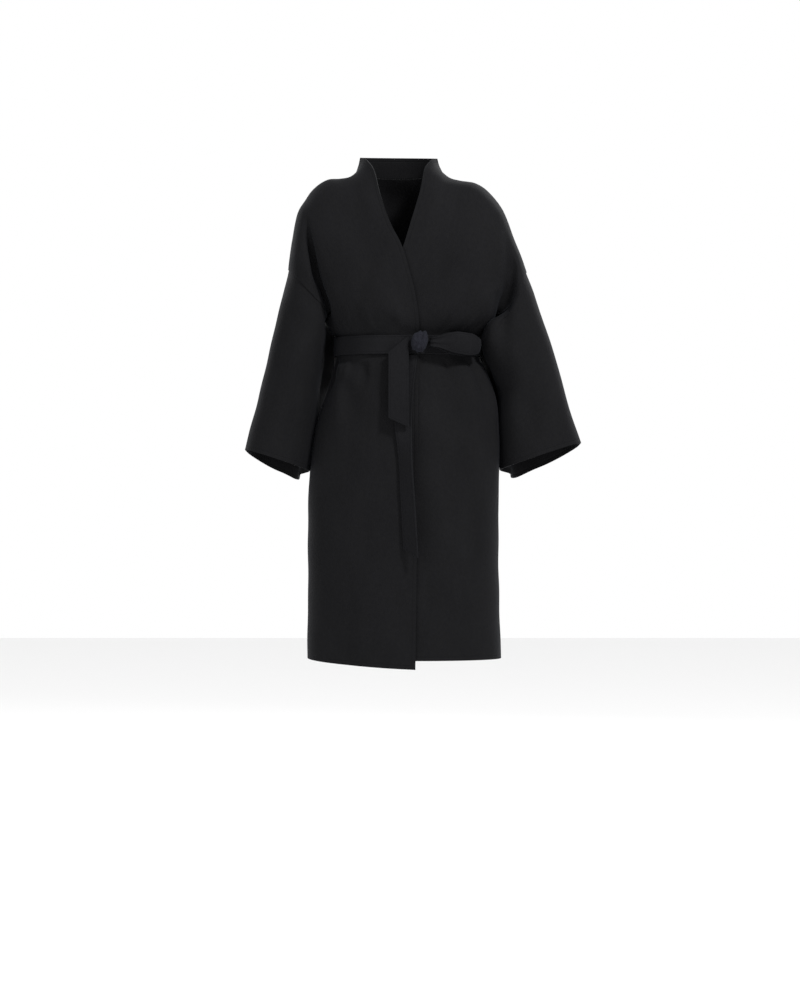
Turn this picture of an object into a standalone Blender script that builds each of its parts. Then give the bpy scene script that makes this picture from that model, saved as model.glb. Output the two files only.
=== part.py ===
"""Wool kimono coat, worn and tied: back, two lapped fronts, dropped sleeves, neck stand and belt.

Metres, +Z up. The coat faces -Y, so the wearer's right is at -X. The origin is between the
shoulders, at the height of the shoulder line, where the wearer holds the coat.
"""
from collections import namedtuple

import bmesh
import bpy
import numpy as np

# Cloth
CLOTH = 0.003  # double-faced wool coating
BELT = 0.004  # the belt's two layers, pressed together
SEAM = 0.00015  # each piece stays this far from its seam line
ARMHOLE_SEAM = 0.00022  # the same round the armholes
STRIP = 0.012  # share of a panel next to a seam that lies flat on it
LAP = 0.0044  # the right front lies this far outside the left one
CLEAR = 0.0006  # between the belt and what it lies on
ROUND = np.pi / 2

# Heights
UNDERARM = -0.285
HEM = -0.955
HEM_DIP = 0.017  # at the right front's edge, where the lapped front hangs lower
BELT_TOP = -0.3165
BELT_LOW = -0.3535

# The body's horizontal sections: half widths to each side, depths to front and back, squareness
Section = namedtuple("Section", "z right left front back power")
BODY = [
    Section(-0.980, 0.196, 0.193, 0.138, 0.141, 2.4),
    Section(-0.800, 0.194, 0.187, 0.136, 0.140, 2.4),
    Section(-0.640, 0.193, 0.187, 0.135, 0.139, 2.4),
    Section(-0.560, 0.188, 0.189, 0.134, 0.138, 2.4),
    Section(-0.490, 0.177, 0.188, 0.132, 0.136, 2.3),
    Section(-0.435, 0.160, 0.181, 0.128, 0.131, 2.3),
    Section(-0.395, 0.146, 0.168, 0.123, 0.124, 2.2),
    Section(-0.360, 0.138, 0.149, 0.1165, 0.115, 2.2),
    Section(-0.334, 0.137, 0.147, 0.1160, 0.114, 2.2),
    Section(-0.313, 0.138, 0.148, 0.1170, 0.115, 2.2),
    Section(-0.300, 0.146, 0.163, 0.1235, 0.121, 2.2),
    Section(-0.285, 0.158, 0.181, 0.1300, 0.128, 2.3),
    Section(-0.240, 0.170, 0.200, 0.1340, 0.131, 2.3),
    Section(-0.190, 0.180, 0.200, 0.1320, 0.131, 2.3),
    Section(-0.140, 0.185, 0.200, 0.1250, 0.128, 2.3),
    Section(-0.060, 0.190, 0.200, 0.1050, 0.110, 2.3),
]

# Front edges below the underarm, then up the V to the top of the collar
EdgeLow = namedtuple("EdgeLow", "z right left")
EDGE_LOW = [
    EdgeLow(-0.980, 0.020, -0.062),
    EdgeLow(-0.640, 0.024, -0.062),
    EdgeLow(-0.400, 0.026, -0.060),
    EdgeLow(-0.285, 0.028, -0.056),
]
EdgeHigh = namedtuple("EdgeHigh", "x y z")
EDGE_RIGHT = [
    EdgeHigh(0.028, -0.1290, -0.285),
    EdgeHigh(0.019, -0.1335, -0.232),
    EdgeHigh(0.006, -0.1315, -0.182),
    EdgeHigh(-0.007, -0.1250, -0.140),
    EdgeHigh(-0.028, -0.1110, -0.098),
    EdgeHigh(-0.050, -0.0850, -0.035),
    EdgeHigh(-0.066, -0.0480, 0.021),
    EdgeHigh(-0.080, -0.0180, 0.040),
    EdgeHigh(-0.090, 0.0100, 0.046),
]
EDGE_LEFT = [
    EdgeHigh(-0.056, -0.1270, -0.285),
    EdgeHigh(-0.043, -0.1320, -0.240),
    EdgeHigh(-0.024, -0.1315, -0.192),
    EdgeHigh(-0.003, -0.1250, -0.140),
    EdgeHigh(0.012, -0.1100, -0.090),
    EdgeHigh(0.030, -0.0830, -0.030),
    EdgeHigh(0.043, -0.0480, 0.023),
    EdgeHigh(0.056, -0.0180, 0.039),
    EdgeHigh(0.065, 0.0100, 0.044),
]

# Shoulder lines: down the side of the collar, along the shoulder and down to the sleeve seam
Shoulder = namedtuple("Shoulder", "x z")
SHOULDER_RIGHT = [
    Shoulder(-0.0900, 0.0460),
    Shoulder(-0.0935, 0.0300),
    Shoulder(-0.0985, 0.0160),
    Shoulder(-0.1100, 0.0060),
    Shoulder(-0.1300, 0.0010),
    Shoulder(-0.1540, -0.0010),
    Shoulder(-0.1720, -0.0100),
    Shoulder(-0.1890, -0.0250),
    Shoulder(-0.2000, -0.0420),
    Shoulder(-0.2120, -0.0620),
    Shoulder(-0.2200, -0.0880),
    Shoulder(-0.2260, -0.1200),
    Shoulder(-0.2300, -0.1550),
    Shoulder(-0.2330, -0.1800),
]
SHOULDER_LEFT = [
    Shoulder(0.0650, 0.0440),
    Shoulder(0.0690, 0.0290),
    Shoulder(0.0760, 0.0160),
    Shoulder(0.0920, 0.0030),
    Shoulder(0.1100, -0.0020),
    Shoulder(0.1420, -0.0080),
    Shoulder(0.1580, -0.0170),
    Shoulder(0.1750, -0.0330),
    Shoulder(0.1950, -0.0600),
    Shoulder(0.2060, -0.0840),
    Shoulder(0.2180, -0.1160),
    Shoulder(0.2310, -0.1500),
    Shoulder(0.2420, -0.1860),
]
NECK_SEAM_AT = 2  # the row of each shoulder line where the neck stand meets the back
COLLAR_SHARE = 0.12  # share of a front's upper edge that is the side of its collar
SEAM_BACK = 0.010  # the shoulder seams lie this far behind the origin at the neck

# Centre back, from the underarm's height to the nape
CENTRE_BACK = [
    EdgeHigh(0.000, 0.1280, -0.285),
    EdgeHigh(-0.003, 0.1320, -0.220),
    EdgeHigh(-0.006, 0.1290, -0.150),
    EdgeHigh(-0.009, 0.1180, -0.080),
    EdgeHigh(-0.012, 0.1000, -0.025),
    EdgeHigh(-0.012, 0.0800, 0.010),
]
STAND_RISE = 0.042  # height of the neck stand at the centre back
STAND_LEAN = 0.006  # its top edge lies this far in

# Sleeves: outer and inner line in front view, depths, inward shift of the back, drop of the back
Cuff = namedtuple("Cuff", "along outer_x outer_z inner_x inner_z front back shift drop")
SLEEVE_RIGHT = [
    Cuff(0.00, -0.233, -0.180, -0.158, -0.285, 0.093, 0.093, 0.000, 0.000),
    Cuff(0.15, -0.246, -0.240, -0.160, -0.330, 0.092, 0.094, 0.022, 0.002),
    Cuff(0.35, -0.263, -0.320, -0.165, -0.382, 0.090, 0.094, 0.044, 0.004),
    Cuff(0.55, -0.281, -0.396, -0.173, -0.434, 0.088, 0.092, 0.028, 0.007),
    Cuff(0.75, -0.301, -0.468, -0.187, -0.494, 0.086, 0.090, 0.012, 0.010),
    Cuff(1.00, -0.320, -0.540, -0.200, -0.582, 0.084, 0.090, 0.006, 0.013),
]
SLEEVE_LEFT = [
    Cuff(0.00, 0.242, -0.186, 0.181, -0.285, 0.093, 0.093, 0.000, 0.000),
    Cuff(0.15, 0.262, -0.240, 0.168, -0.330, 0.092, 0.094, 0.018, 0.002),
    Cuff(0.35, 0.284, -0.312, 0.174, -0.382, 0.090, 0.094, 0.038, 0.004),
    Cuff(0.55, 0.306, -0.386, 0.190, -0.438, 0.088, 0.092, 0.022, 0.007),
    Cuff(0.75, 0.328, -0.456, 0.199, -0.500, 0.086, 0.090, 0.008, 0.010),
    Cuff(1.00, 0.352, -0.526, 0.203, -0.580, 0.084, 0.090, 0.004, 0.013),
]

# Grooves where the bodice folds in beside each sleeve, drawn in front view from top to underarm
Groove = namedtuple("Groove", "x z depth width")
GROOVE_RIGHT = [
    Groove(-0.198, -0.050, 0.000, 0.014),
    Groove(-0.196, -0.100, 0.008, 0.015),
    Groove(-0.187, -0.150, 0.015, 0.016),
    Groove(-0.177, -0.190, 0.021, 0.017),
    Groove(-0.167, -0.230, 0.024, 0.017),
    Groove(-0.158, -0.285, 0.001, 0.016),
]
GROOVE_LEFT = [
    Groove(0.184, -0.060, 0.000, 0.014),
    Groove(0.197, -0.104, 0.006, 0.015),
    Groove(0.204, -0.150, 0.011, 0.016),
    Groove(0.208, -0.190, 0.016, 0.016),
    Groove(0.206, -0.235, 0.018, 0.016),
    Groove(0.186, -0.285, 0.001, 0.016),
]

# Soft folds of the body: where on the form, how long, how wide and how far out (or in)
Fold = namedtuple("Fold", "angle top bottom width rise drift")
FOLDS = [
    Fold(-1.02, -0.235, -0.306, 0.10, -0.005, 0.10),
    Fold(-0.78, -0.225, -0.306, 0.09, 0.006, 0.06),
    Fold(-0.52, -0.240, -0.306, 0.09, -0.005, -0.05),
    Fold(0.62, -0.230, -0.306, 0.10, 0.005, 0.04),
    Fold(1.10, -0.225, -0.300, 0.12, 0.006, 0.02),
    Fold(-1.05, -0.362, -0.560, 0.16, 0.007, 0.45),
    Fold(-0.62, -0.364, -0.470, 0.12, -0.004, 0.20),
    Fold(0.75, -0.362, -0.600, 0.14, 0.004, -0.05),
    Fold(1.20, -0.362, -0.700, 0.15, 0.005, 0.00),
    Fold(2.30, -0.215, -0.306, 0.12, 0.006, 0.00),
    Fold(2.75, -0.230, -0.306, 0.10, -0.005, 0.05),
    Fold(3.40, -0.220, -0.306, 0.12, 0.006, -0.05),
    Fold(3.95, -0.230, -0.306, 0.11, -0.005, 0.00),
    Fold(2.15, -0.362, -0.620, 0.15, 0.006, -0.06),
    Fold(2.85, -0.362, -0.560, 0.14, -0.005, 0.04),
    Fold(3.60, -0.362, -0.680, 0.16, 0.006, 0.05),
    Fold(4.20, -0.362, -0.600, 0.14, 0.004, 0.00),
]

# Grid lines
SKIRT_HEIGHTS = [HEM, -0.905, -0.845, -0.780, -0.710, -0.640, -0.570, -0.510, -0.460, -0.420, -0.386,
                 BELT_LOW, -0.335, BELT_TOP, -0.301, UNDERARM]
YOKE_ROWS = 12
FRONT_COLUMNS = 15
NECK_COLUMNS = 5
SLEEVE_ROWS = 14
SLEEVE_COLUMNS = 24
BELT_COLUMNS = 44
LOOP_COLUMNS = 24

# Belt pieces in front
KNOT_X = 0.028
KNOT_Z = -0.330
KNOT_SIZE = (0.0180, 0.0140, 0.0235)  # half sizes
LOOP_NEAR = 0.0445
LOOP_FAR = 0.127
LOOP_DEPTH = 0.026
LOOP_WIDTH = 0.036
LOOP_DROP = 0.008  # of its far end
SHORT_LEFT = -0.033  # the short end's two long edges
SHORT_RIGHT = 0.007
SHORT_TOPS = (-0.3500, -0.3180)  # its slanting top, at each edge
SHORT_ENDS = (-0.4800, -0.4980)
LongEnd = namedtuple("LongEnd", "z x turn")
LONG_END = [
    LongEnd(-0.3560, 0.008, 0.00),
    LongEnd(-0.4400, -0.002, 0.02),
    LongEnd(-0.4900, -0.004, 0.12),
    LongEnd(-0.5350, -0.002, 0.58),
    LongEnd(-0.6400, 0.004, 0.66),
    LongEnd(-0.7450, 0.010, 0.62),
]
LONG_WIDTH = 0.034
LONG_SLANT = 0.008  # half the difference between its two edges at the end

# Belt carriers on the side seams
CARRIER_WIDTH = 0.009
CARRIER_CLOTH = 0.002


def column(table, name):
    """One named column of a table as an array."""
    return np.array([getattr(row, name) for row in table], float)


def curve(x, xs, ys):
    """Smooth curve through the points (xs, ys), with xs rising, read at x."""
    xs = np.asarray(xs, float)
    ys = np.asarray(ys, float)
    x = np.clip(x, xs[0], xs[-1])
    slope = np.gradient(ys, xs)
    k = np.clip(np.searchsorted(xs, x) - 1, 0, len(xs) - 2)
    step = xs[k + 1] - xs[k]
    f = (x - xs[k]) / step
    ease = f * f * (3 - 2 * f)
    bow = step * f * (1 - f) * ((1 - f) * slope[k] - f * slope[k + 1])
    return ys[k] * (1 - ease) + ys[k + 1] * ease + bow


def line_through(points, s):
    """Point at share s of a line's length, for points given as rows of x, y, z."""
    points = np.asarray(points, float)
    run = np.r_[0, np.cumsum(np.linalg.norm(np.diff(points, axis=0), axis=1))]
    return np.stack([curve(s, run / run[-1], points[:, k]) for k in range(3)], axis=-1)


def step_up(f):
    """0 before 0, 1 after 1, and a smooth rise between."""
    f = np.clip(f, 0, 1)
    return f * f * (3 - 2 * f)


def body(angle, z):
    """Body form: angle 0 faces the front, a quarter turn is the wearer's left side.

    x = half width * sin(angle)^(2/power) and y = -depth * cos(angle)^(2/power), with their signs.
    """
    angle, z = np.broadcast_arrays(np.asarray(angle, float), np.asarray(z, float))
    high = column(BODY, "z")
    right, left, front, back, power = (curve(z, high, column(BODY, name)) for name in Section._fields[1:])
    across = np.sin(angle)
    ahead = np.cos(angle)
    x = np.where(across < 0, right, left) * np.sign(across) * np.abs(across) ** (2 / power)
    y = np.where(ahead > 0, front, back) * -np.sign(ahead) * np.abs(ahead) ** (2 / power)
    return np.stack([x, y, z], axis=-1)


def front_depth(x, z):
    """y of the body form's front at x and z."""
    high = column(BODY, "z")
    names = ("right", "left", "front", "power")
    right, left, front, power = (curve(z, high, column(BODY, name)) for name in names)
    share = np.clip(np.abs(x) / np.where(x < 0, right, left), 0, 1)
    return -front * (1 - share ** power) ** (1 / power)


def edge_angle(x, z):
    """Angle of the body form's front at x and z."""
    high = column(BODY, "z")
    power = curve(z, high, column(BODY, "power"))
    half = curve(z, high, column(BODY, "left")) if x.mean() > 0 else curve(z, high, column(BODY, "right"))
    return np.sign(x) * np.arcsin((np.abs(x) / half) ** (power / 2))


def folded(points, angle):
    """The body's points moved out or in by its soft folds, each a bell across and eased along."""
    z = points[..., 2]
    turn = np.mod(angle + ROUND, 4 * ROUND) - ROUND
    rise = np.zeros(z.shape)
    for fold in FOLDS:
        along = (fold.top - z) / (fold.top - fold.bottom)
        middle = fold.angle + fold.drift * along
        bell = np.exp(-(((turn - middle) / fold.width) ** 2))
        near_belt = fold.top if fold.bottom < BELT_LOW else fold.bottom
        far_end = fold.bottom if fold.bottom < BELT_LOW else fold.top
        from_end = np.abs(far_end - z) / abs(far_end - near_belt)
        fade = step_up(np.abs(z - near_belt) / 0.014) * step_up(from_end / 0.8)
        rise += fold.rise * bell * fade * ((along > 0) & (along < 1))
    out = np.stack([np.sin(turn), -np.cos(turn), 0 * turn], axis=-1)
    return points + out * rise[..., None]


def ring(table, along, phi):
    """Sleeve form: phi 0 is the outer line, a quarter turn the front, half a turn the underarm."""
    along, phi = np.broadcast_arrays(np.asarray(along, float), np.asarray(phi, float))
    read = {name: curve(along, column(table, "along"), column(table, name)) for name in Cuff._fields[1:]}
    mid_x = (read["outer_x"] + read["inner_x"]) / 2
    mid_z = (read["outer_z"] + read["inner_z"]) / 2
    square = 0.88 - 0.21 * step_up(along / 0.3) * step_up(-np.sin(phi) / 0.3)
    reach = np.sign(np.cos(phi)) * np.abs(np.cos(phi)) ** square
    pointed = 1 - np.arccos(np.cos(phi)) / ROUND
    share = 0.8 * (1 - step_up(along / 0.25)) * (pointed < 0)
    reach = reach * (1 - share) + pointed * share
    side = np.sign(np.sin(phi)) * np.abs(np.sin(phi)) ** square
    depth = np.where(side > 0, read["front"], read["back"]) * side
    behind = np.clip(-side, 0, 1)
    inward = -np.sign(read["outer_x"]) * read["shift"] * behind
    x = mid_x + (read["outer_x"] - mid_x) * reach + inward
    z = mid_z + (read["outer_z"] - mid_z) * reach + read["drop"] * side
    return np.stack([x, -depth, z], axis=-1)


def sleeve_way(side, phi):
    """Direction in which the sleeve leaves the armhole."""
    table = SLEEVE_RIGHT if side < 0 else SLEEVE_LEFT
    way = grooved(side, ring(table, 0.03, phi)) - grooved(side, ring(table, 0.0, phi))
    return way / np.linalg.norm(way, axis=-1, keepdims=True)


def shoulder_line(table):
    """Points of a shoulder line, which comes forward to y = 0 at the sleeve."""
    x = column(table, "x")
    z = column(table, "z")
    y = SEAM_BACK * (1 - np.linspace(0, 1, len(table))) ** 0.7
    return np.stack([x, y, z], axis=-1)


def neck_line(side):
    """Neck seam from the nape to the shoulder line of one side, a quarter of an oval."""
    table = SHOULDER_RIGHT if side < 0 else SHOULDER_LEFT
    end = shoulder_line(table)[NECK_SEAM_AT]
    nape = np.array(CENTRE_BACK[-1], float)
    turn = np.linspace(ROUND, 0, 9)[:, None]
    middle = np.array([nape[0], end[1], 0])
    oval = middle + np.cos(turn) * [end[0] - nape[0], 0, 0] + np.sin(turn) * [0, nape[1] - end[1], 0]
    oval[:, 2] = nape[2] + (end[2] - nape[2]) * (1 - np.sin(turn[:, 0]))
    return oval


def neck_share(side):
    """Share of the back's upper edge, from nape to sleeve, that is neck seam."""
    neck = neck_line(side)
    top = np.vstack([neck, shoulder_line(SHOULDER_RIGHT if side < 0 else SHOULDER_LEFT)[NECK_SEAM_AT + 1:]])
    lengths = np.linalg.norm(np.diff(top, axis=0), axis=1)
    return lengths[: len(neck) - 1].sum() / lengths.sum()


def back_columns(side):
    """Columns of half the back, nape to sleeve: even round the neck, then where the front's are."""
    line = shoulder_line(SHOULDER_RIGHT if side < 0 else SHOULDER_LEFT)
    lengths = np.linalg.norm(np.diff(line, axis=0), axis=1)
    collar = lengths[:NECK_SEAM_AT].sum()
    past = (EDGE_TO_SIDE * lengths.sum() - collar) / (lengths.sum() - collar)
    neck = neck_share(side)
    round_neck = np.linspace(0, neck, NECK_COLUMNS + 1)
    return np.array([*round_neck, *(neck + (1 - neck) * past[past > 0.03])])


def yoke(side, face, s, t):
    """Upper part of a panel, between its four edges.

    s runs from the centre edge (0) to the armhole (1), t from the underarm (0) to the shoulder (1).
    The surface is lower(s) * (1 - b) + upper(s) * b, plus what the centre edge and the armhole
    differ from it, shared as 1 - s^3 and s^3, where b = t * t * (3 - 2 * t).
    """
    s, t = np.broadcast_arrays(np.asarray(s, float), np.asarray(t, float))
    sleeve = SLEEVE_RIGHT if side < 0 else SLEEVE_LEFT
    shoulder = shoulder_line(SHOULDER_RIGHT if side < 0 else SHOULDER_LEFT)
    if face < 0:
        centre = np.array(EDGE_RIGHT if side < 0 else EDGE_LEFT, float)
        start = edge_angle(centre[:1, 0], UNDERARM)[0]
        end = side * ROUND
        top = shoulder
        neck = COLLAR_SHARE
    else:
        centre = np.array(CENTRE_BACK, float)
        start = 2 * ROUND
        end = 2 * ROUND - side * ROUND
        top = np.vstack([neck_line(side), shoulder[NECK_SEAM_AT + 1:]])
        neck = neck_share(side)
    first = np.zeros(s.shape)
    last = np.ones(s.shape)

    def surface(s, t):
        ease = (t * t * (3 - 2 * t))[..., None]
        hold = (s ** 3)[..., None]
        mix = body(start + (end - start) * s, UNDERARM + first) * (1 - ease) + line_through(top, s) * ease
        mix_in = centre[0] * (1 - ease) + line_through(top, first) * ease
        mix_out = ring(sleeve, first, 2 * ROUND * last) * (1 - ease) + line_through(top, last) * ease
        inner = line_through(centre, t) - mix_in
        outer = ring(sleeve, first, -face * 2 * ROUND * (1 - t)) - mix_out
        return mix + inner * (1 - hold) + outer * hold

    # the panel reaches the shoulder seam level, going back or forward, and the armhole along the sleeve
    small = 0.02
    points = surface(s, t)
    rise = (surface(s, last) - surface(s, last - small)) / small
    flat = np.linalg.norm(rise, axis=-1, keepdims=True) * np.array([0, -face, 0])
    window = step_up((s - neck) / 0.12 + 1)[..., None]
    points = points + (t ** 3 * (t - 1))[..., None] * (flat - rise) * window
    run = (surface(last, t) - surface(last - small, t)) / small
    pull = np.linalg.norm(run, axis=-1, keepdims=True) * sleeve_way(side, -face * 2 * ROUND * (1 - t))
    window = (step_up((t - 0.12) / 0.30) * step_up((1 - t) / 0.12))[..., None]
    return points + (s ** 4 * (s - 1))[..., None] * (pull - run) * window


def grooved(side, points):
    """Points drawn in along the groove beside the sleeve: a bell across the groove's line."""
    table = GROOVE_RIGHT if side < 0 else GROOVE_LEFT
    high = column(table, "z")[::-1]
    x, z = points[..., 0], points[..., 2]
    middle, depth, width = (curve(z, high, column(table, name)[::-1]) for name in ("x", "depth", "width"))
    fade = step_up((z - high[0]) / 0.03 + 1) * step_up((high[-1] - z) / 0.02)
    push = depth * np.exp(-(((x - middle) / width) ** 2)) * fade * np.where(points[..., 1] > 0, 0.4, 1)
    moved = points.copy()
    moved[..., 1] = points[..., 1] * (1 - push / 0.09)
    return moved


def lapped(points):
    """The right front's points, moved out where the left front lies under them."""
    x, z = points[..., 0], points[..., 2]
    under = np.where(z < UNDERARM, curve(z, column(EDGE_LOW, "z"), column(EDGE_LOW, "left")),
                     curve(z, column(EDGE_LEFT, "z"), column(EDGE_LEFT, "x")))
    out = LAP * step_up((x - under + 0.055) / 0.033) * step_up((-0.03 - z) / 0.05)
    moved = points.copy()
    moved[..., 1] -= out
    return moved


def on_the_chest(points):
    """Both fronts follow one form about the centre, so that one can lie on the other."""
    x, z = points[..., 0], points[..., 2]
    share = step_up((0.105 - np.abs(x)) / 0.05) * step_up((-0.105 - z) / 0.035)
    moved = points.copy()
    moved[..., 1] = points[..., 1] * (1 - share) + front_depth(x, z) * share
    return moved


def skirt_angle(side, s, z):
    """Angle of a front's column s at height z, from its edge (0) to the side seam (1)."""
    name = "right" if side < 0 else "left"
    start = edge_angle(curve(z, column(EDGE_LOW, "z"), column(EDGE_LOW, name)), z)
    return start + (side * ROUND - start) * s


def front(side, s, heights, steps):
    """Grid of one front: rows at heights up to the underarm, then the yoke's."""
    s = np.asarray(s, float)
    sheets = []
    for height in heights:
        dip = HEM_DIP * (1 - s) ** 1.5 if side < 0 else 0 * s
        z = height - dip * ((UNDERARM - height) / (UNDERARM - HEM)) ** 4
        turn = skirt_angle(side, s, z)
        sheets.append(folded(body(turn, z), turn))
    for t in steps:
        points = yoke(side, -1, s, np.full(s.shape, t))
        sheets.append(grooved(side, on_the_chest(points)))
    return np.array(sheets)


def back(s, heights, steps):
    """Grid of the back from the wearer's right (s = -1) to the left (s = 1)."""
    s = np.asarray(s, float)
    sheets = []
    for height in heights:
        z = np.full(s.shape, height)
        turn = 2 * ROUND - s * ROUND
        sheets.append(folded(body(turn, z), turn))
    for t in steps:
        right = grooved(-1, yoke(-1, 1, np.abs(s), np.full(s.shape, t)))
        left = grooved(1, yoke(1, 1, np.abs(s), np.full(s.shape, t)))
        sheets.append(np.where((s < 0)[:, None], right, left))
    return np.array(sheets)


def facing(grid, around=False):
    """Outward direction at each point of a grid whose columns run to the right of its rows."""
    if around:
        grid = np.concatenate([grid[:, -2:-1], grid, grid[:, 1:2]], axis=1)
    out = np.cross(np.gradient(grid, axis=1), np.gradient(grid, axis=0))
    out /= np.linalg.norm(out, axis=-1, keepdims=True)
    return out[:, 1:-1] if around else out


def level(out):
    """Outward directions without their part along y, as on both sides of a side or shoulder seam."""
    out = out * [1, 0, 1]
    return out / np.linalg.norm(out, axis=-1, keepdims=True)


def armhole_facing(side, phi):
    """Outward direction on the armhole seam, the same for the panel and the sleeve."""
    table = SLEEVE_RIGHT if side < 0 else SLEEVE_LEFT
    round_seam = grooved(side, ring(table, 0.0, phi + 0.05)) - grooved(side, ring(table, 0.0, phi - 0.05))
    out = np.cross(round_seam, sleeve_way(side, phi)) * side
    return out / np.linalg.norm(out, axis=-1, keepdims=True)


def armhole(grid, out, side, face, index):
    """Ends a panel at its seams: side seam and armhole at one column, shoulder seam at the last row."""
    table = SLEEVE_RIGHT if side < 0 else SLEEVE_LEFT
    phi = -face * 2 * ROUND * (1 - np.array([0.0, *YOKE_STEPS]))
    out[:FIRST_YOKE, index] = level(out[:FIRST_YOKE, index])
    share = step_up((1 + face * phi / 2 / ROUND - 0.15) / 0.25)[:, None]
    out[FIRST_YOKE:, index] = out[FIRST_YOKE:, index] * (1 - share) + armhole_facing(side, phi) * share
    out[FIRST_YOKE:, index] /= np.linalg.norm(out[FIRST_YOKE:, index], axis=-1, keepdims=True)
    grid[: FIRST_YOKE + 1, index, 1] += face * SEAM
    grid[FIRST_YOKE:, index] -= ARMHOLE_SEAM * sleeve_way(side, phi)


def belt_lap(x):
    """How far the belt is held out by the lapped front, easing off past that front's edge."""
    return LAP * step_up((x + 0.115) / 0.033) * (1 - step_up((x - 0.032) / 0.030))


def belt_surface(turn, heights, stand):
    """The belt's outside and its outward directions, with a further stand off it."""
    grid = body(turn, heights)
    grid[..., 1] -= np.where(grid[..., 1] < 0, belt_lap(grid[..., 0]), 0)
    ahead = body(turn + 0.02, heights) - body(turn - 0.02, heights)
    out = np.stack([ahead[..., 1], -ahead[..., 0], 0 * ahead[..., 0]], axis=-1)
    out /= np.linalg.norm(out, axis=-1, keepdims=True)
    return grid + out * (CLEAR + BELT + np.asarray(stand)[..., None] * np.ones(grid.shape)), out


def in_front(x, z):
    """y of whatever lies outermost in front: the lapped fronts, with the belt round them."""
    over_belt = step_up((z - BELT_LOW + 0.045) / 0.040)
    return front_depth(x, z) - belt_lap(x) - (CLEAR + BELT) * over_belt


def cloth(name, grid, out, thickness, around=False):
    """A sheet of cloth: a grid of points outside, the same moved in by its thickness, and the rims.

    Its faces are built by hand because each panel is a loft between edges of unlike shape.
    """
    rows, columns = grid.shape[:2]
    if around:
        columns -= 1
    sheet = bmesh.new()
    outer = [[sheet.verts.new(grid[j, i]) for i in range(columns)] for j in range(rows)]
    under = grid - thickness * out
    inner = [[sheet.verts.new(under[j, i]) for i in range(columns)] for j in range(rows)]
    across = range(columns) if around else range(columns - 1)
    for j in range(rows - 1):
        for i in across:
            k = (i + 1) % columns
            sheet.faces.new((outer[j][i], outer[j][k], outer[j + 1][k], outer[j + 1][i]))
            sheet.faces.new((inner[j][i], inner[j + 1][i], inner[j + 1][k], inner[j][k]))
    for i in across:
        k = (i + 1) % columns
        sheet.faces.new((outer[0][i], inner[0][i], inner[0][k], outer[0][k]))
        sheet.faces.new((outer[-1][i], outer[-1][k], inner[-1][k], inner[-1][i]))
    for j in range(0 if around else rows - 1):
        sheet.faces.new((outer[j][0], outer[j + 1][0], inner[j + 1][0], inner[j][0]))
        sheet.faces.new((outer[j][-1], inner[j][-1], inner[j + 1][-1], outer[j + 1][-1]))
    mesh = bpy.data.meshes.new(name)
    sheet.to_mesh(mesh)
    sheet.free()
    mesh.shade_smooth()
    mesh.set_sharp_from_angle(angle=0.9)
    return bpy.data.objects.new(name, mesh)


def finish(piece, colour, roughness):
    """Gives a piece its own material and puts it in the coat's collection."""
    material = bpy.data.materials.new(piece.name)
    material.use_nodes = True
    shader = material.node_tree.nodes["Principled BSDF"]
    shader.inputs["Base Color"].default_value = (*colour, 1)
    shader.inputs["Roughness"].default_value = roughness
    shader.inputs["Metallic"].default_value = 0
    piece.data.materials.append(material)
    coat.objects.link(piece)
    return piece


WOOL = (0.012, 0.012, 0.014)
WOOL_ROUGHNESS = 0.9

for old in list(bpy.data.objects):
    bpy.data.objects.remove(old, do_unlink=True)
coat = bpy.data.collections.new("kimono_coat")
bpy.context.scene.collection.children.link(coat)

YOKE_STEPS = [*(np.linspace(0, 1, YOKE_ROWS + 1)[1:-1]), 1 - STRIP, 1.0]
EDGE_TO_SIDE = np.array([*(1 - (1 - np.linspace(0, 1, FRONT_COLUMNS)[:-1]) ** 1.25), 1 - STRIP, 1.0])
FIRST_YOKE = len(SKIRT_HEIGHTS) - 1

# Wearer's right front, on top: its grid runs from the side seam to the front edge
grid = lapped(front(-1, EDGE_TO_SIDE, SKIRT_HEIGHTS, YOKE_STEPS))[:, ::-1]
out = facing(grid)
armhole(grid, out, -1, -1, 0)
out[-1] = level(out[-1])
grid[-1, :, 1] -= SEAM
finish(cloth("front_right", grid, out, CLOTH), WOOL, WOOL_ROUGHNESS)

# Wearer's left front, under it: from its front edge to the side seam
grid = front(1, EDGE_TO_SIDE, SKIRT_HEIGHTS, YOKE_STEPS)
out = facing(grid)
armhole(grid, out, 1, -1, -1)
out[-1] = level(out[-1])
grid[-1, :, 1] -= SEAM
finish(cloth("front_left", grid, out, CLOTH), WOOL, WOOL_ROUGHNESS)

# Back: from the wearer's left side to the right one, with a column at each end of the neck seam
nape_to_left = back_columns(1)
nape_to_right = back_columns(-1)
across = np.array([*nape_to_left[::-1], *-nape_to_right[1:]])
grid = back(across, SKIRT_HEIGHTS, YOKE_STEPS)
neck_seam = grid[-1, len(nape_to_left) - 1 - NECK_COLUMNS: len(nape_to_left) + NECK_COLUMNS].copy()
out = facing(grid)
armhole(grid, out, 1, 1, 0)
armhole(grid, out, -1, 1, -1)
out[-1, : len(nape_to_left) - NECK_COLUMNS] = level(out[-1, : len(nape_to_left) - NECK_COLUMNS])
out[-1, len(nape_to_left) + NECK_COLUMNS - 1:] = level(out[-1, len(nape_to_left) + NECK_COLUMNS - 1:])
grid[-1, :, 1] += SEAM
finish(cloth("back", grid, out, CLOTH), WOOL, WOOL_ROUGHNESS)

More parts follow.
